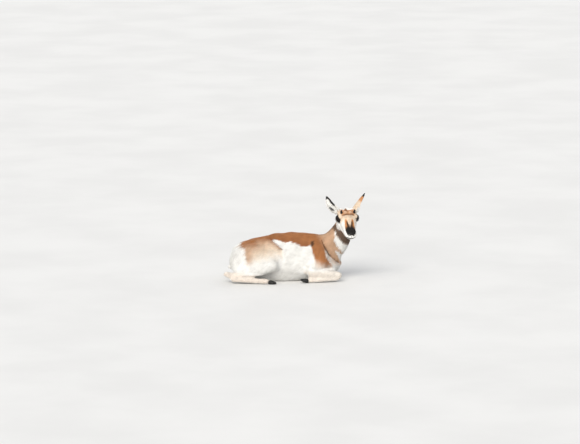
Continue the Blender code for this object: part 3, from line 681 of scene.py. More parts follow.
def limb_coat(coat, p, normal):
    """Tints the outer sides of the legs."""
    gap, _ = limb_field(p)
    outer = ease(normal[:, 1] * np.sign(p[:, 1]) + 0.5 * normal[:, 2], 0.0, 0.7)
    low = ease(gap, 0.050, 0.034) * ease(p[:, 2], 0.100, 0.070)
    paint(coat, 0.35 * low * outer, "cream")
    paint(coat, 0.15 * low * outer * ease(p[:, 0] + 0.03 * ripple(p, 0.05, 31), 0.36, 0.10), "tan")


def eye_rims(coat, points):
    """Blackens the skin round the eyes, and the mark that runs to the front corner."""
    for word in SIDES:
        local, away, place = eye_field(points, word)
        near = away < EYE_RADIUS * 1.6
        high = local[:, 1] * SIDES[word]
        paint(coat, near * ease(place, 1.62, 1.34), "black")
        along = local[:, 0]
        tear = ease(np.abs(high + 0.004), 0.0065, 0.0030)
        tear = tear * ease(along, 0.014, 0.018) * ease(along, 0.034, 0.027)
        paint(coat, 0.9 * tear * near, "black")
        outer = bump(along, -0.014, 0.018) * bump(high, 0.020, 0.012) * near
        paint(coat, 0.85 * outer, "black")


def coat_colour(points, normal):
    """The markings, with painted highlight and shade, which the skin and the tufts share."""
    p, q = in_body(points), in_head(points)
    coat = trunk_coat(p)
    limb_coat(coat, p, normal)
    share = headness(p)[:, None]
    coat = coat * (1 - share) + head_coat(q) * share
    eye_rims(coat, points)
    return coat * (1 + 0.05 * ripple(points, 0.045, 41) + 0.05 * ripple(points, 0.012, 42))[:, None]


def lie_of_coat(p, q, normal):
    """Which way the hair runs at each point: back over the head, down the neck, legs and rump."""
    x, y, z = p.T
    head = headness(p)[:, None]
    gap, limb_way = limb_field(p)
    limb = (ease(gap, 0.066, 0.040) * ease(z, 0.125, 0.085))[:, None]
    neck = ease(within_neck(p), -0.02, 0.04)[:, None]
    rump = ease(x, -0.30, -0.37)[:, None]
    haunch = (ease(x, -0.06, -0.16) * ease(np.abs(y), 0.05, 0.11))[:, None]
    flat = np.ones_like(x)
    trunk = np.stack([-flat, 0 * flat, -0.30 * ease(z, 0.36, 0.26)], 1)
    way = trunk * (1 - haunch) + np.array((-0.62, 0.0, -0.72)) * haunch
    shoulder = (ease(x, 0.16, 0.23) * ease(z, 0.33, 0.25))[:, None]
    way = way * (1 - shoulder) + np.array((-0.45, 0.0, -0.85)) * shoulder
    way = way * (1 - rump) + np.stack([-0.25 * flat, 2.4 * y, -flat], 1) * rump
    way = way * (1 - neck) + np.array((-0.50, 0.05, -0.82)) * neck
    way = way * (1 - limb) + limb_way * limb
    side = 0.25 * np.sign(q[:, 1]) * ease(q[:, 2], 0.03, -0.03)
    back = np.stack([-flat, side, -0.35 * ease(q[:, 2], 0.02, -0.04)], 1)
    way = way * (1 - head) + from_head(back) * head
    return flattened(way, normal)


def softness(p, q):
    """How much each part of the fused skin is smoothed: most where locks stood, least on head and feet."""
    x = q[:, 0]
    from_skull = np.linalg.norm(q - np.stack([np.clip(x, -0.02, 0.17), 0 * x, 0 * x - 0.02], 1), axis=1)
    gap, _ = limb_field(p)
    soft = 0.45 * ease(from_skull, 0.075, 0.13) + 0.05
    soft = np.maximum(soft, ease(mane_share(p), 0.0, 0.3) * ease(from_skull, 0.09, 0.12))
    soft = np.maximum(soft, ease(p[:, 0], -0.31, -0.36) * ease(p[:, 2], 0.09, 0.13))
    return soft * np.maximum(0.08, ease(gap, 0.035, 0.065) + ease(p[:, 2], 0.09, 0.14)).clip(0, 1)


def coat_depths(p):
    """How far inside the solids the skin lies."""
    deep = sizes().coat_depth * np.ones(len(p))
    gap, _ = limb_field(p)
    limb = ease(gap, 0.060, 0.036) * ease(p[:, 2], 0.12, 0.08)
    deep *= 1 - 0.72 * limb
    deep *= 1 - 0.72 * headness(p)
    return deep * ease(p[:, 2], -0.004, 0.045).clip(0.15, 1)


def dent(points, normal, gap, depth, half):
    """Moves points inwards along a line, or outwards for a negative depth."""
    return points - normal * (depth * mound((gap, 0.0, half)))[:, None]


def body_creases(points, normal):
    """The folds before the shoulder, at the flank, at the elbow and the stifle, and the blade's edge."""
    p = in_body(points)
    flat = p[:, [0, 2]]
    sideways = ease(np.abs(p[:, 1]), 0.030, 0.060)
    lines = (
        (CREASE_LINE, 0.0050, 0.010),
        (FOLD_LINE[:2], 0.0040, 0.009),
        (((-0.019, 0.246), (0.004, 0.165)), 0.0025, 0.014),
        (((0.190, 0.300), (0.212, 0.230), (0.185, 0.130)), 0.0030, 0.016),
        (((0.240, 0.335), (0.262, 0.270), (0.285, 0.205)), -0.0030, 0.022),
        (((0.150, 0.120), (0.230, 0.098), (0.330, 0.100)), 0.0035, 0.011),
        (((-0.230, 0.290), (-0.205, 0.315)), -0.0030, 0.030),
    )
    for line, depth, half in lines:
        gap, _ = from_line(flat, line)
        points = dent(points, normal, gap + 1.0 * (sideways < 0.01), depth, half)
    ribs = np.sin((p[:, 0] + 0.35 * p[:, 2]) * 2 * math.pi / 0.036)
    ribs = ribs * bump(p[:, 0], 0.08, 0.11) * bump(p[:, 2], 0.20, 0.09)
    return points + normal * (0.0003 * ribs + 0.0016 * ripple(p, 0.09, 51))[:, None]


def head_details(points, normal):
    """The lips, the groove above them, the nostrils, the brows and the jaw's edge."""
    q = in_head(points)
    x, y, z = q.T
    aside = np.abs(y)
    front = ease(x, 0.088, 0.108) * headness(in_body(points))
    above = off_lips(q)
    rise = 0.0016 * mound((np.abs(above), 0.0065, 0.0040)) - 0.0042 * mound((above, 0.0, 0.0017))
    move = rise * front
    groove = mound((y, 0.0, 0.0014)) * ease(x, 0.160, 0.176) * ease(above, 0.0, 0.004) * ease(z, 0.006, 0.0)
    move -= 0.0016 * groove
    u = (x - NOSTRIL[0]) * 0.80 - (aside - NOSTRIL[1]) * 0.60
    v = (x - NOSTRIL[0]) * 0.60 + (aside - NOSTRIL[1]) * 0.80
    w = z - NOSTRIL[2]
    off = np.sqrt((u / 0.0100) ** 2 + ((w - 0.35 * u) / 0.0042) ** 2 + (v / 0.016) ** 2)
    move -= 0.0065 * ease(off, 1.15, 0.45)
    move += 0.0016 * mound((off, 1.5, 0.45)) * ease(x, 0.14, 0.16)
    move += 0.0016 * mound((x, -0.004, 0.020), (aside, 0.050, 0.010), (z, 0.030, 0.012))
    move -= 0.0018 * mound((x, 0.050, 0.028), (z, -0.028, 0.010)) * ease(aside, 0.020, 0.035)
    move += 0.0020 * mound((x, 0.060, 0.050), (z, -0.006, 0.007)) * ease(aside, 0.025, 0.04)
    move += 0.0004 * ripple(q, 0.011, 52) * headness(in_body(points))
    return points + normal * move[:, None]


def lids(points):
    """Lays the skin over each eyeball as lids, and sinks it behind the eyeball in their opening."""
    for word in SIDES:
        local, away, place = eye_field(points, word)
        lid = EYE_RADIUS + 0.0024 + 0.0012 * mound((place, 1.22, 0.10)) - 0.0014 * mound((place, 1.55, 0.09))
        near = (away < EYE_RADIUS * 1.7) & (place < 8)
        share = near * ease(place, 2.05, 1.50)
        reach = away * (1 - share) + lid * share
        reach = np.where(near & (place < 0.97), EYE_RADIUS - 0.0035, reach)
        points = np.array(EYES[word]) + (local * (reach / away)[:, None]) @ np.array(sight(word)).T
    return points


def finer(thing, chosen):
    """Splits the chosen faces once, and smooths what is new."""
    only(thing)
    bpy.ops.object.mode_set(mode="EDIT")
    bpy.ops.mesh.select_mode(type="FACE")
    bpy.ops.mesh.select_all(action="DESELECT")
    bpy.ops.object.mode_set(mode="OBJECT")
    thing.data.polygons.foreach_set("select", chosen)
    bpy.ops.object.mode_set(mode="EDIT")
    bpy.ops.mesh.subdivide(number_cuts=1, smoothness=0.0)
    bpy.ops.mesh.vertices_smooth(factor=0.5, repeat=3)
    bpy.ops.object.mode_set(mode="OBJECT")


def face_middles(thing):
    return read(thing.data.polygons, "center", 3)


def near_eyes(points, reach):
    gaps = [np.linalg.norm(points - np.array(EYES[word]), axis=1) for word in SIDES]
    return np.minimum(*gaps) < reach


def unwrapped(thing):
    """Unwraps a piece by its own shape, into the map that its coat's tufts look up too."""
    only(thing)
    for layer in list(thing.data.uv_layers):
        thing.data.uv_layers.remove(layer)
    thing.data.uv_layers.new(name=BAKE_MAP)
    bpy.ops.object.mode_set(mode="EDIT")
    bpy.ops.mesh.select_all(action="SELECT")
    bpy.ops.uv.smart_project(angle_limit=math.radians(66), island_margin=0.003)
    bpy.ops.object.mode_set(mode="OBJECT")


def body_skin():
    """One skin over head, neck, trunk, tail and legs."""
    skin = copy_of("skin", FLESH + EYE_NODES)
    apply(skin, "REMESH", mode="VOXEL", voxel_size=SKIN_VOXEL)
    points = places(skin)
    set_group(skin, "soft", softness(in_body(points), in_head(points)))
    apply(skin, "SMOOTH", factor=0.5, iterations=SOFT_ROUNDS, vertex_group="soft")
    skin.vertex_groups.clear()
    apply(skin, "SMOOTH", factor=0.5, iterations=4)
    points = places(skin)
    deep = coat_depths(in_body(points))
    set_places(skin, points - normals(skin) * deep[:, None])
    middles = face_middles(skin)
    finer(skin, headness(in_body(middles)) > 0.5)
    middles = face_middles(skin)
    q = in_head(middles)
    muzzle = (q[:, 0] > MUZZLE_START) & (q[:, 2] > CHIN_LOW) & (headness(in_body(middles)) > 0.5)
    finer(skin, muzzle | near_eyes(middles, EYE_RADIUS * NEAR_EYE))
    points = body_creases(places(skin), normals(skin))
    points = head_details(points, normals(skin))
    points = lids(points)
    points[:, 2] = np.maximum(points[:, 2], 0.0005)
    set_places(skin, points)
    return skin


class Surface:
    """What tufts read of the piece they grow on: its triangles, normals, lie and unwrap."""

    def __init__(self, piece, lie):
        mesh = piece.data
        mesh.calc_loop_triangles()
        self.points = places(piece)
        self.normals = normals(piece)
        self.lie = lie
        self.corners = read(mesh.loop_triangles, "vertices", 3).astype(int)
        loops = read(mesh.loop_triangles, "loops", 3).astype(int)
        self.map = read(mesh.uv_layers[BAKE_MAP].uv, "vector", 2)[loops]
        a, b, c = (self.points[self.corners[:, k]] for k in range(3))
        self.areas = np.linalg.norm(np.cross(b - a, c - a), axis=1) / 2

    def scatter(self, density, rng):
        """Roots spread evenly, for a density in tufts per square metre at each vertex."""
        steps = np.cumsum(self.areas * density[self.corners].mean(1))
        count = int(steps[-1])
        picks = (np.arange(count) + rng.uniform(0, 1, count)) * steps[-1] / count
        face = np.minimum(np.searchsorted(steps, picks), len(steps) - 1)
        first, second = rng.uniform(size=(2, count))
        over = first + second > 1
        first[over], second[over] = 1 - first[over], 1 - second[over]
        return Roots(self, face, np.stack([1 - first - second, first, second], 1))


class Roots:
    """Places on a surface where tufts grow."""

    def __init__(self, surface, face, shares):
        self.surface, self.face, self.shares = surface, face, shares
        self.points = self.read(surface.points)
        self.normals = unit(self.read(surface.normals))
        self.ways = flattened(self.read(surface.lie), self.normals)
        self.spots = (surface.map[face] * shares[:, :, None]).sum(1)

    def read(self, values):
        corners = values[self.surface.corners[self.face]]
        return (corners * (self.shares[:, :, None] if values.ndim > 1 else self.shares)).sum(1)

    def kept(self, chosen):
        return Roots(self.surface, self.face[chosen], self.shares[chosen])


def turned(ways, normal, angles):
    return ways * np.cos(angles)[:, None] + np.cross(normal, ways) * np.sin(angles)[:, None]


def tufts(name, roots, ways, length, width, lift, shades, rings=2, tip=1.06, root=0.90, droop=0.0):
    """A piece of thin, tapered, bent tufts with three sides, one at each root."""
    count = len(roots.points)
    across = np.cross(ways, roots.normals)
    hoops, tints, spots, facings = [], [], [], []
    for k in range(rings + 1):
        share = k / rings
        up = lift * math.sin(min(1.0, share * 1.25) * math.pi / 2) - 0.10 * width * (1 - share)
        up = np.where(share == 0, -0.0008, up)
        raised = up - droop * length * share**2
        middle = roots.points + ways * (length * share)[:, None] + roots.normals * raised[:, None]
        middle[:, 2] -= droop * length * share**2 * 0.5
        wide = width * (0.72 + 0.9 * share - 1.62 * share**2) if rings > 1 else width * (1 - share)
        # Each tuft is painted darker at its root, as painted shade from the hair over it, and a little paler
        # at its tip
        tint = np.clip(shades * (root + (tip - root) * share), 0, 1)
        spot = roots.spots + np.array((0.0, PATCH * share))
        if k == rings:
            hoops.append(middle[:, None])
            tints.append(tint[:, None])
            spots.append(spot[:, None])
            facings.append(roots.normals[:, None])
            break
        half = across * (wide / 2)[:, None]
        high = roots.normals * (wide * 0.36)[:, None]
        hoops.append(np.stack([middle - half, middle + high, middle + half], 1))
        tints.append(np.repeat(tint[:, None], 3, 1))
        side = np.array((PATCH / 2, 0.0)) * (1 - share)
        spots.append(np.stack([spot - side, spot, spot + side], 1))
        sloped = across * 0.45
        facings.append(np.stack([roots.normals - sloped, roots.normals, roots.normals + sloped], 1))
    hoops, tints, spots, facings = (np.concatenate(part, 1) for part in (hoops, tints, spots, facings))
    return woven(name, hoops, tints, spots, facings, rings, count)


def tuft_faces(rings):
    """One tuft's faces, from its root to its tip."""
    faces = [(2, 1, 0)]
    for k in range(rings - 1):
        for a in range(3):
            b = (a + 1) % 3
            faces.append((3 * k + a, 3 * k + b, 3 * k + 3 + b, 3 * k + 3 + a))
    faces += [(3 * rings - 3 + a, 3 * rings - 3 + (a + 1) % 3, 3 * rings) for a in range(3)]
    return faces


def is_under(face):
    """Whether a tuft's face looks at the skin: the root's cap, and what spans the two lower corners."""
    return face == (2, 1, 0) or {corner % 3 for corner in face[:2]} == {0, 2}


def woven(name, hoops, tints, spots, facings, rings, count):
    """One mesh from the arrays of many tufts. They are shaded much as the skin under them is."""
    faces = tuft_faces(rings)
    each = 3 * rings + 1
    pattern = np.concatenate(faces)
    lengths = np.array([len(face) for face in faces])
    corners = (np.arange(count)[:, None] * each + pattern).ravel()
    starts = np.cumsum(np.tile(lengths, count)) - np.tile(lengths, count)
    points = hoops.reshape(-1, 3)
    points[:, 2] = np.maximum(points[:, 2], FLOOR_GAP)
    mesh = bpy.data.meshes.new(name)
    mesh.vertices.add(len(points))
    mesh.vertices.foreach_set("co", points.astype(np.float32).ravel())
    mesh.loops.add(len(corners))
    mesh.loops.foreach_set("vertex_index", corners.astype(np.int32))
    mesh.polygons.add(len(starts))
    mesh.polygons.foreach_set("loop_start", starts.astype(np.int32))
    mesh.update(calc_edges=True)
    set_colours(mesh, tints.reshape(-1, 3))
    layer = mesh.uv_layers.new(name=BAKE_MAP)
    layer.uv.foreach_set("vector", spots.reshape(-1, 2)[corners].astype(np.float32).ravel())
    under = np.concatenate([[-1.0 if is_under(face) else 1.0] * len(face) for face in faces])
    shown = unit(facings.reshape(-1, 3))[corners] * np.tile(under, count)[:, None]
    mesh.normals_split_custom_set(shown.tolist())
    piece = bpy.data.objects.new(name, mesh)
    bpy.context.scene.collection.objects.link(piece)
    return piece


def coat_look():
    """Hair: the painted colours, markings and painted light and shade alike, with fine streaks of lighter and
    darker hair.
    """
    made = bpy.data.materials.get("doe_coat")
    if made:
        return made
    look = Look("doe_coat")
    streaks = look.noise(420.0, 2.0).between(0.25, 0.75)
    tone = look.blend(streaks, (0.90, 0.90, 0.90), (1.06, 1.05, 1.03))
    look.shade(Base_Color=look.blend(1.0, look.attribute("coat", "Color"), tone, "MULTIPLY"))
    look.shade(Roughness=0.62 + 0.2 * streaks, Specular_IOR_Level=0.28)
    look.shade(Sheen_Weight=0.12, Sheen_Roughness=0.45)
    return look.material


def skin_look():
    """The skin under the coat: short flat hair, and bare leather at nose, lips and lids."""
    look = Look("doe_skin")
    bare = look.attribute("bare")
    hair = look.noise(900.0, 3.0)
    grain = look.grain(620.0)
    tone = look.blend(hair.between(0.3, 0.7), (0.84, 0.84, 0.84), (1.05, 1.04, 1.02))
    look.shade(Base_Color=look.blend(1.0, look.attribute("coat", "Color"), tone, "MULTIPLY"))
    look.shade(Roughness=0.80 - 0.30 * bare, Specular_IOR_Level=0.25)
    look.relief(hair * (1 - bare) + 0.5 * grain * bare, 0.50, 0.0010)
    return look.material


def bare_share(points):
    """Where the skin shows without hair: the nose's front, the lips' edges and the rims of the eyes."""
    q = in_head(points)
    nose = nose_share(q) * ease(q[:, 0], 0.158, 0.168)
    lips = ease(np.abs(off_lips(q) + 0.0005), 0.0040, 0.0026) * ease(q[:, 0], 0.100, 0.115)
    bare = np.maximum(nose, lips) * headness(in_body(points))
    for word in SIDES:
        _, away, place = eye_field(points, word)
        bare = np.maximum(bare, (away < EYE_RADIUS * 1.5) * ease(place, 1.32, 1.18))
    return bare


class DoeOperator:
    """What the operators share, with the surfaces that tufts grow on."""

    bl_options = {"REGISTER", "UNDO"}
    surfaces = {}


def covered(piece, name, lie, shades, bare):
    """Hands a piece its colours, markings and painted shade alike, and keeps what the tufts on it read."""
    set_colours(piece.data, np.clip(shades, 0, 1))
    set_values(piece.data, "bare", bare)
    DoeOperator.surfaces[name] = Surface(piece, lie)


class DOE_OT_skin(DoeOperator, bpy.types.Operator):
    """Makes one skin for the head, the neck, the trunk, the tail and the legs"""

    bl_idname = "doe.skin"
    bl_label = "Skin"

    def execute(self, context):
        skin = body_skin()
        unwrapped(skin)
        points, normal = places(skin), normals(skin)
        p, q = in_body(points), in_head(points)
        edges = read(skin.data.edges, "vertices", 2).astype(int)
        lie = flattened(evened(lie_of_coat(p, q, normal), edges, LIE_ROUNDS), normal)
        covered(skin, "skin", lie, coat_colour(points, normal), bare_share(points))
        finished(skin, skin_look(), "coat", *FLESH)
        return {"FINISHED"}


# Each ear's base in the head's frame, which way it stands and which way its cup opens
EAR_WAYS = {
    "right": ((-0.056, -0.058, 0.013), (-0.590, 0.430, 0.683), (-0.25, -0.95, 0.10)),
    "left": ((-0.056, 0.056, 0.020), (0.523, 0.233, 0.820), (0.86, 0.16, -0.52)),
}
EAR_LENGTH = 0.150
EAR_BOW = 0.016


def ear_field(points, word):
    """Along the ear from base to tip, across it to its inner edge, and the way that its cup opens."""
    base, way, facing = (np.array(v) for v in EAR_WAYS[word])
    way = way / np.linalg.norm(way)
    facing = facing - way * (facing @ way)
    facing = facing / np.linalg.norm(facing)
    across = np.cross(way, facing) * -SIDES[word]
    off = points - np.array(EYES_MIDDLE) - from_head(base)
    along = off @ way / EAR_LENGTH
    bow = EAR_BOW * np.sin(math.pi * np.clip(along, 0, 1))
    return along, off @ across + bow, way, facing, across


def ear_coat(points, normal, word):
    """The ear's colours: white hair in the cup, cream and tan outside, black at tip and inner edge."""
    along, aside, _, facing, _ = ear_field(points, word)
    inner = ease(normal @ facing, -0.15, 0.25)
    wavy = along + 0.03 * ripple(points, 0.012, 61)
    coat = np.tile(colour("cream"), (len(points), 1))
    paint(coat, 0.55 * ease(wavy, 0.05, -0.05), "tan")
    paint(coat, 0.85 * ease(wavy, 0.46, 0.62), "orange")
    paint(coat, inner, "white")
    low = ease(np.abs(aside + 0.017), 0.010, 0.005) * ease(wavy, 0.14, 0.22) * ease(wavy, 0.50, 0.42)
    paint(coat, 0.92 * inner * low, "black")
    edge = np.interp(along, (0.30, 0.50, 0.75, 0.95), (0.015, 0.015, 0.011, -0.004))
    start, tip = (0.30, 0.84) if word == "right" else (0.66, 0.78)
    rim = ease(aside, edge - 0.002, edge + 0.002) * ease(normal @ facing, -0.5, 0.0)
    paint(coat, rim * ease(wavy, start, start + 0.10), "black")
    paint(coat, ease(wavy, tip, tip + 0.05), "black")
    return coat * (1 + 0.05 * ripple(points, 0.01, 62))[:, None]


class DOE_OT_ears(DoeOperator, bpy.types.Operator):
    """Makes the cup of each ear"""

    bl_idname = "doe.ears"
    bl_label = "Ears"

    def execute(self, context):
        for word in SIDES:
            ear = copy_of(f"ear_cup_{word}", [f"ear_{word}"], swell=0.0002)
            remade(ear, EAR_VOXEL, 6)
            set_places(ear, places(ear) - normals(ear) * 0.0003)
            unwrapped(ear)
            points, normal = places(ear), normals(ear)
            _, _, way, _, _ = ear_field(points, word)
            lie = flattened(np.tile(way, (len(points), 1)), normal)
            covered(ear, f"ear_{word}", lie, ear_coat(points, normal, word), np.zeros(len(points)))
            finished(ear, bpy.data.materials["doe_skin"], "coat", f"ear_{word}")
        return {"FINISHED"}


def eye_look():
    """A dark eye with a long pupil, under a clear, wet surface."""
    look = Look("doe_eye")
    gaze = look.node("ShaderNodeSeparateXYZ", {}, {0: look.attribute("gaze", "Vector")})
    x, y = gaze, Wire(look, gaze.out.node.outputs[1])
    radius = (x * x + y * y) ** 0.5
    pupil = ((x * x) / 0.110 + (y * y) / 0.045) ** 0.5
    iris = look.tones(look.noise(160.0, 4.0).between(0.3, 0.7), "iris", 0.6, 1.5)
    ball = look.blend(radius.between(0.60, 0.70), iris, (0.006, 0.004, 0.004))
    look.shade(Base_Color=look.blend(pupil.between(1.06, 0.94), ball, (0.003, 0.003, 0.004)))
    look.shade(Roughness=0.05, Specular_IOR_Level=0.20)
    return look.material


def round_ball(name, rings=40, sides=64):
    """A ball round the origin, with its poles on Z."""
    points = [(0.0, 0.0, EYE_RADIUS)]
    for k in range(1, rings):
        wide, high = EYE_RADIUS * math.sin(math.pi * k / rings), EYE_RADIUS * math.cos(math.pi * k / rings)
        turns = (2 * math.pi * j / sides for j in range(sides))
        points += [(wide * math.cos(turn), wide * math.sin(turn), high) for turn in turns]
    last = len(points)
    points.append((0.0, 0.0, -EYE_RADIUS))
    faces = []
    for j in range(sides):
        beside = (j + 1) % sides
        faces.append((0, 1 + j, 1 + beside))
        for above in range(1, last - sides, sides):
            below = above + sides
            faces.append((above + j, below + j, below + beside, above + beside))
        faces.append((last, last - sides + beside, last - sides + j))
    return linked(name, points, faces)


def ball_of(word):
    """An eyeball whose pole looks out, with the cornea raised."""
    ball = round_ball(f"eyeball_{word}")
    local = places(ball)
    out = local / EYE_RADIUS
    raised = local * (1 + 0.030 * ease(out[:, 2], 0.78, 0.95))[:, None]
    set_places(ball, raised @ np.array(sight(word)).T + np.array(EYES[word]))
    gaze = ball.data.attributes.new("gaze", "FLOAT_VECTOR", "POINT")
    gaze.data.foreach_set("vector", out.astype(np.float32).ravel())
    return ball


def rim_of(word):
    """The black rims of the lids, a soft ring along their opening."""
    steps, sides = 72, 8
    turn = np.array(sight(word)).T
    side = SIDES[word]
    points = []
    for k in range(steps):
        angle = 2 * math.pi * k / steps
        u = math.cos(angle)
        v = math.sin(angle)
        tall = LID_HALF_TALL if v * side > 0 else LID_HALF_TALL * LOWER_LID
        spot = Vector((u * LID_HALF_LONG * 1.03, v * tall * 1.03, 0))
        spot.z = math.sqrt(EYE_RADIUS**2 - spot.x**2 - spot.y**2)
        out = spot.normalized()
        away = Vector((spot.x, spot.y, 0)).normalized()
        away = (away - out * away.dot(out)).normalized()
        thick = 0.0020 + 0.0005 * abs(u) ** 4
        for j in range(sides):
            turn_in = 2 * math.pi * j / sides
            rise = EYE_RADIUS + 0.0008 + 0.0013 * math.sin(turn_in)
            points.append(out * rise + away * (thick * math.cos(turn_in) + 0.0006))
    faces = []
    for k in range(steps):
        here, there = k * sides, (k + 1) % steps * sides
        for j in range(sides):
            beside = (j + 1) % sides
            faces.append((here + j, here + beside, there + beside, there + j))
    rim = linked(f"lid_rim_{word}", np.array(points) @ turn + np.array(EYES[word]), faces)
    only(rim)
    bpy.ops.object.mode_set(mode="EDIT")
    bpy.ops.mesh.select_all(action="SELECT")
    bpy.ops.mesh.normals_make_consistent(inside=False)
    bpy.ops.object.mode_set(mode="OBJECT")
    apply(rim, "SUBSURF", levels=1, render_levels=1)
    return rim


def leather_look():
    """Black, slightly wet skin with a fine grain."""
    look = Look("doe_leather")
    grain = look.grain(900.0)
    tone = look.noise(120.0).between(0.3, 0.7)
    look.shade(Base_Color=look.tones(tone, "black", 0.8, 1.8))
    look.shade(Roughness=0.42 + 0.18 * tone, Specular_IOR_Level=0.3)
    look.relief(grain, 0.15, 0.0003)
    return look.material


class DOE_OT_eyes(DoeOperator, bpy.types.Operator):
    """Makes the eyeballs and the rims of their lids"""

    bl_idname = "doe.eyes"
    bl_label = "Eyes"

    def execute(self, context):
        eye, leather = eye_look(), leather_look()
        for word in SIDES:
            finished(ball_of(word), eye, "eye", f"eye_{word}")
            finished(rim_of(word), leather, "coat")
        return {"FINISHED"}


def horn_look():
    """Black horn, rough and scuffed paler in places."""
    look = Look("doe_horn")
    rough = look.noise(260.0, 4.0)
    tone = look.noise(90.0, 4.0).between(0.35, 0.75)
    look.shade(Base_Color=look.tones(tone, "horn", 0.6, 2.6))
    look.shade(Roughness=0.40 + 0.25 * rough, Specular_IOR_Level=0.30)
    look.relief(rough, 0.45, 0.0010)
    return look.material


class DOE_OT_horns(DoeOperator, bpy.types.Operator):
    """Makes the short horns, with rings round them"""

    bl_idname = "doe.horns"
    bl_label = "Horns"

    def execute(self, context):
        look = horn_look()
        for word in SIDES:
            horn = copy_of(f"horn_nub_{word}", [f"horn_{word}"], swell=0.0)
            remade(horn, HORN_VOXEL, 10)
            points = places(horn)
            q = in_head(points)
            groove = np.sin(q[:, 2] * 2 * math.pi / HORN_RING + 1.5 * ripple(q, 0.012, 71))
            rise = 0.00010 * groove + 0.00018 * ripple(q, 0.005, 72)
            set_places(horn, points + normals(horn) * rise[:, None])
            finished(horn, look, "horn", f"horn_{word}")
        return {"FINISHED"}


def hoof_look():
    """Dark hoof with fine growth lines, worn paler in places."""
    look = Look("doe_hoof")
    stretched = look.node("ShaderNodeMapping", {}, {"Vector": look.place(), "Scale": (60.0, 60.0, 900.0)})
    lines = look.noise(1.0, 3.0, stretched)
    wear = look.noise(70.0, 4.0).between(0.5, 0.8)
    look.shade(Base_Color=look.tones(wear, "horn", 0.8, 4.0))
    look.shade(Roughness=0.38 + 0.22 * lines, Specular_IOR_Level=0.42)
    look.relief(lines, 0.40, 0.0008)
    return look.material


class DOE_OT_hooves(DoeOperator, bpy.types.Operator):
    """Makes the two claws of each foot"""

    bl_idname = "doe.hooves"
    bl_label = "Hooves"

    def execute(self, context):
        look = hoof_look()
        for leg in LEGS:
            claws = [f"claw_{leg}_{place}" for place in ("inner", "outer")]
            hoof = copy_of(f"hoof_{leg}", claws, swell=-0.0001)
            remade(hoof, HOOF_VOXEL, 8)
            points = places(hoof)
            points[:, 2] = np.maximum(points[:, 2], 0.0003)
            set_places(hoof, points)
            finished(hoof, look, "horn", *claws)
        return {"FINISHED"}


def coat_piece(points):
    """Which piece of the coat a root belongs to."""
    p = in_body(points)
    right = np.where(headness(p) > 0.5, in_head(points)[:, 1], p[:, 1]) < 0
    part = np.where(headness(p) > 0.5, 0, np.digitize(p[:, 0], (-0.30, -0.12, 0.06, 0.22)) + 1)
    neck = (within_neck(p) > 0.0) & (headness(p) <= 0.5)
    part = np.where(neck, 6, part)
    return part, right


COAT_PARTS = ("face", "rump", "haunch", "flank", "side", "shoulder", "neck")


def coat_sizes(p, q, points):
    """Each root's length, width, lift and density, by where it grows."""
    size = sizes()
    gap, _ = limb_field(p)
    limb = ease(gap, 0.060, 0.038) * ease(p[:, 2], 0.120, 0.080)
    head = headness(p)
    rump = ease(p[:, 0], -0.29, -0.34) * ease(p[:, 2], 0.085, 0.12)
    length = np.full(len(p), size.body_hair)
    length = length * (1 - rump) + size.rump_hair * 0.62 * rump
    length = length * (1 - limb) + size.leg_hair * limb
    face = size.face_hair * (1 - 0.50 * ease(q[:, 0], 0.05, 0.15)) * (1 + 0.55 * ease(q[:, 2], 0.0, -0.05))
    face *= 1 + 0.5 * ease(q[:, 0], -0.03, -0.08)
    length = length * (1 - head) + face * head
    near = near_eyes(points, EYE_RADIUS * NEAR_EYE)
    length = np.where(near, length * 0.42, length)
    width = length * (0.072 + 0.045 * limb + 0.070 * head)
    lift = length * (0.070 + 0.035 * head + 0.02 * rump)
    density = size.body_tufts * (1 - limb) + size.leg_tufts * limb
    density = density * (1 - head) + size.face_tufts * (1 + 0.9 * ease(q[:, 0], 0.06, 0.15)) * head
    return length, width, lift, density


class DOE_OT_coat(DoeOperator, bpy.types.Operator):
    """Grows the short coat over the skin, in pieces of like size"""

    bl_idname = "doe.coat"
    bl_label = "Coat"

    def execute(self, context):
        skin = DoeOperator.surfaces["skin"]
        rng = np.random.default_rng(17)
        p, q = in_body(skin.points), in_head(skin.points)
        _, _, _, density = coat_sizes(p, q, skin.points)
        density = density * (1 - ease(bare_share(skin.points), 0.1, 0.5))
        density = density * ease(skin.points[:, 2], 0.0012, 0.006)
        for word in SIDES:
            _, away, place = eye_field(skin.points, word)
            density = np.where((away < EYE_RADIUS * 1.5) & (place < 1.30), 0, density)
        roots = skin.scatter(density, rng)
        count = len(roots.points)
        length, width, lift, _ = coat_sizes(in_body(roots.points), in_head(roots.points), roots.points)
        sway = 0.16 * ripple(roots.points, 0.05, 81) + 0.10 * ripple(roots.points, 0.016, 82)
        ways = turned(roots.ways, roots.normals, sway + rng.normal(0, 0.10, count))
        length = length * rng.uniform(0.72, 1.22, count)
        lift = lift * rng.uniform(0.5, 1.5, count)
        shades = coat_colour(roots.points, roots.normals) * rng.uniform(0.86, 1.10, (count, 1))
        part, right = coat_piece(roots.points)
        look = coat_look()
        for k, name in enumerate(COAT_PARTS):
            for word, side in (("right", right), ("left", ~right)):
                chosen = (part == k) & side
                if not chosen.any():
                    continue
                own = (values[chosen] for values in (ways, length, width, lift, shades))
                bends = 1 if name == "face" else 2
                piece = tufts(f"coat_{name}_{word}", roots.kept(chosen), *own, rings=bends)
                finished(piece, look, "coat")
        return {"FINISHED"}


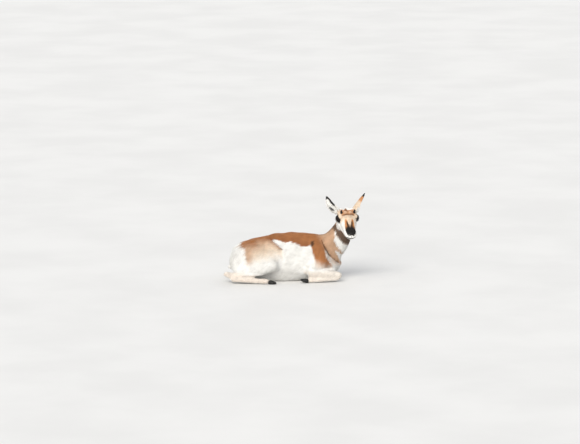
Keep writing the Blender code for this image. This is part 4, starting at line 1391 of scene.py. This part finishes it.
class DOE_OT_long_hair(DoeOperator, bpy.types.Operator):
    """Grows the mane down the nape, the hair of the rump patch and of the tail, and the tuft of the crown"""

    bl_idname = "doe.long_hair"
    bl_label = "Mane, rump and tail"

    def execute(self, context):
        skin = DoeOperator.surfaces["skin"]
        p, q = in_body(skin.points), in_head(skin.points)
        size = sizes()
        look = coat_look()
        nape = ease(mane_share(p), 0.02, 0.25)
        rump = patch(p, RUMP_EDGE, 0.006, 0.006, seed=7) * ease(p[:, 2], 0.08, 0.12)
        crown = mound((q[:, 0], -0.044, 0.008), (q[:, 1], -0.010, 0.006)) * (q[:, 2] > 0.02)
        rows = (
            ("mane", nape, MANE_TUFTS, size.mane_hair, 0.0020, 0.06, 91),
            ("rump_patch", rump, RUMP_TUFTS, size.rump_hair, 0.0020, 0.07, 92),
            ("crown_tuft", crown, CROWN_TUFTS, 0.014, 0.0013, 0.70, 93),
        )
        for name, share, density, long, wide, rise, seed in rows:
            rng = np.random.default_rng(seed)
            roots = skin.scatter(share * density, rng)
            count = len(roots.points)
            turns = 0.22 * ripple(roots.points, 0.04, seed) + rng.normal(0, 0.13, count)
            ways = turned(roots.ways, roots.normals, turns)
            length = long * rng.uniform(0.62, 1.12, count)
            if name == "mane":
                length *= np.interp(in_body(roots.points)[:, 0], (0.24, 0.34, 0.42), (0.45, 0.75, 1.0))
            lift = length * rise * rng.uniform(0.3, 1.2, count)
            width = np.full(count, wide) * rng.uniform(0.7, 1.2, count)
            shades = coat_colour(roots.points, roots.normals) * rng.uniform(0.84, 1.10, (count, 1))
            if name == "crown_tuft":
                shades = np.tile(colour("orange") * 0.6, (count, 1)) * rng.uniform(0.7, 1.2, (count, 1))
            piece = tufts(name, roots, ways, length, width, lift, shades, rings=3, droop=0.08)
            finished(piece, look, "coat")
        return {"FINISHED"}


class DOE_OT_ear_hair(DoeOperator, bpy.types.Operator):
    """Grows the short hair on the ears' backs and the long hair in their cups"""

    bl_idname = "doe.ear_hair"
    bl_label = "Ear hair"

    def execute(self, context):
        look = coat_look()
        for word in SIDES:
            ear = DoeOperator.surfaces[f"ear_{word}"]
            rng = np.random.default_rng(101 + SIDES[word])
            _, _, way, facing, across = ear_field(ear.points, word)
            inner = ease(ear.normals @ facing, -0.1, 0.3)
            roots = ear.scatter(EAR_TUFTS * (1 - 0.35 * inner), rng)
            count = len(roots.points)
            along, aside, _, _, _ = ear_field(roots.points, word)
            inner = ease(roots.normals @ facing, -0.1, 0.3)
            rim = ease(np.abs(aside), 0.010, 0.020)
            inward = way + across * -np.sign(aside)[:, None] * (0.5 * rim * inner)[:, None]
            ways = turned(flattened(inward, roots.normals), roots.normals, rng.normal(0, 0.18, count))
            length = (0.0075 + 0.0085 * inner * ease(along, 0.95, 0.5)) * rng.uniform(0.6, 1.2, count)
            lift = length * (0.10 + 0.22 * inner) * rng.uniform(0.4, 1.3, count)
            width = 0.0010 + 0.0003 * inner
            shades = ear_coat(roots.points, roots.normals, word) * rng.uniform(0.86, 1.10, (count, 1))
            piece = tufts(f"ear_hair_{word}", roots, ways, length, width, lift, shades)
            finished(piece, look, "coat")
        return {"FINISHED"}


class DOE_OT_lashes(DoeOperator, bpy.types.Operator):
    """Grows the long black lashes of the upper lids"""

    bl_idname = "doe.lashes"
    bl_label = "Lashes"

    def execute(self, context):
        look = coat_look()
        skin = DoeOperator.surfaces["skin"]
        for word, side in SIDES.items():
            rng = np.random.default_rng(111 + side)
            local, away, place = eye_field(skin.points, word)
            upper = local[:, 1] * side > -0.002
            band = (away < EYE_RADIUS * 1.4) * ease(np.abs(place - 1.14), 0.12, 0.04) * upper
            roots = skin.scatter(band * LASH_TUFTS, rng)
            count = len(roots.points)
            local, away, place = eye_field(roots.points, word)
            away_way = np.stack([local[:, 0] * 0.5, local[:, 1], np.full(count, EYE_RADIUS * 0.25)], 1)
            ways = unit(unit(away_way) @ np.array(sight(word)).T + roots.normals * 0.9)
            length = rng.uniform(0.0045, 0.0080, count)
            shades = np.tile(colour("black"), (count, 1))
            own = (ways, length, np.full(count, 0.0008), length * 0.10, shades)
            piece = tufts(f"lashes_{word}", roots, *own, rings=3, droop=0.12)
            finished(piece, look, "coat")
        return {"FINISHED"}


def floor_look():
    """A plain pale floor."""
    look = Look("floor")
    tone = look.noise(1.2, 4.0).between(0.3, 0.7)
    look.shade(Base_Color=look.tones(tone, "floor", 0.97, 1.03), Roughness=0.9)
    return look.material


# The ways that the lights shine, how strong the second is beside the first, and how wide they look
KEY_WAY = (1.6, 4.0, -3.1)
RIM_WAY = (-1.5, -4.2, -4.2)
RIM_SHARE = 0.20
SUN_WIDTH = math.radians(40)
FLOOR_RADIUS = 120.0


def light(name, way, strength, tint):
    """A far, soft light that shines along this way and lights the whole floor evenly."""
    lamp = bpy.data.lights.new(name, "SUN")
    lamp.angle = SUN_WIDTH
    lamp.energy = strength
    lamp.color = tint
    thing = bpy.data.objects.new(name, lamp)
    thing.rotation_euler = Vector(way).to_track_quat("-Z", "Y").to_euler()
    bpy.context.scene.collection.objects.link(thing)


class DOE_OT_stage(DoeOperator, bpy.types.Operator):
    """Sets the floor, the lights and the camera"""

    bl_idname = "doe.stage"
    bl_label = "Stage"

    # The middle of the picture, in the body's frame: along the body and up the picture
    picture = (0.037, 0.4218)

    def execute(self, context):
        stage = context.scene.doe_stage
        bpy.ops.object.select_all(action="DESELECT")
        bpy.ops.mesh.primitive_circle_add(vertices=96, radius=FLOOR_RADIUS, fill_type="NGON")
        floor = context.active_object
        floor.name = floor.data.name = "floor"
        floor.data.materials.append(floor_look())

        light("key", KEY_WAY, stage.key, (1.0, 0.975, 0.93))
        light("rim", RIM_WAY, stage.key * RIM_SHARE, (0.95, 0.97, 1.0))
        world = bpy.data.worlds.new("studio")
        world.use_nodes = True
        background = world.node_tree.nodes["Background"]
        background.inputs["Color"].default_value = (0.90, 0.94, 1.0, 1.0)
        background.inputs["Strength"].default_value = stage.fill
        context.scene.world = world
        context.scene.view_settings.view_transform = "Standard"

        up = Vector((0, math.sin(stage.height), math.cos(stage.height)))
        back = Vector((0, -math.cos(stage.height), math.sin(stage.height)))
        data = bpy.data.cameras.new("camera")
        data.sensor_width = 36.0
        data.lens = data.sensor_width * stage.far / stage.across
        data.clip_end = 400.0
        camera = bpy.data.objects.new("camera", data)
        middle = BODY_ORIGIN + Vector((self.picture[0], 0, 0)) + up * self.picture[1]
        camera.location = middle + back * stage.far
        camera.rotation_euler = (-back).to_track_quat("-Z", "Y").to_euler()
        context.scene.collection.objects.link(camera)
        context.scene.camera = camera
        return {"FINISHED"}


OPERATORS = (
    DOE_OT_skin, DOE_OT_ears, DOE_OT_eyes, DOE_OT_horns, DOE_OT_hooves,
    DOE_OT_coat, DOE_OT_long_hair, DOE_OT_ear_hair, DOE_OT_lashes, DOE_OT_stage,
)


class DOE_PT_panel(bpy.types.Panel):
    """Lists the steps that dress the doe"""

    bl_idname = "DOE_PT_panel"
    bl_label = "Pronghorn doe"
    bl_space_type = "VIEW_3D"
    bl_region_type = "UI"
    bl_category = "Pronghorn"

    def draw(self, context):
        scene = context.scene
        for group in (scene.doe_sizes, scene.doe_colours, scene.doe_stage):
            box = self.layout.box()
            for key in group.bl_rna.properties.keys():
                if key not in ("rna_type", "name"):
                    box.prop(group, key)
        for step in OPERATORS:
            self.layout.operator(step.bl_idname)


CLASSES = (DoeSizes, DoeColours, DoeStage, *OPERATORS, DOE_PT_panel)


def register():
    for kind in CLASSES:
        bpy.utils.register_class(kind)
    bpy.types.Scene.doe_sizes = PointerProperty(type=DoeSizes)
    bpy.types.Scene.doe_colours = PointerProperty(type=DoeColours)
    bpy.types.Scene.doe_stage = PointerProperty(type=DoeStage)


def unregister():
    del bpy.types.Scene.doe_sizes, bpy.types.Scene.doe_colours, bpy.types.Scene.doe_stage
    for kind in reversed(CLASSES):
        bpy.utils.unregister_class(kind)


def main():
    register()
    for step in OPERATORS:
        group, name = step.bl_idname.split(".")
        getattr(getattr(bpy.ops, group), name)()


if __name__ == "__main__":
    main()
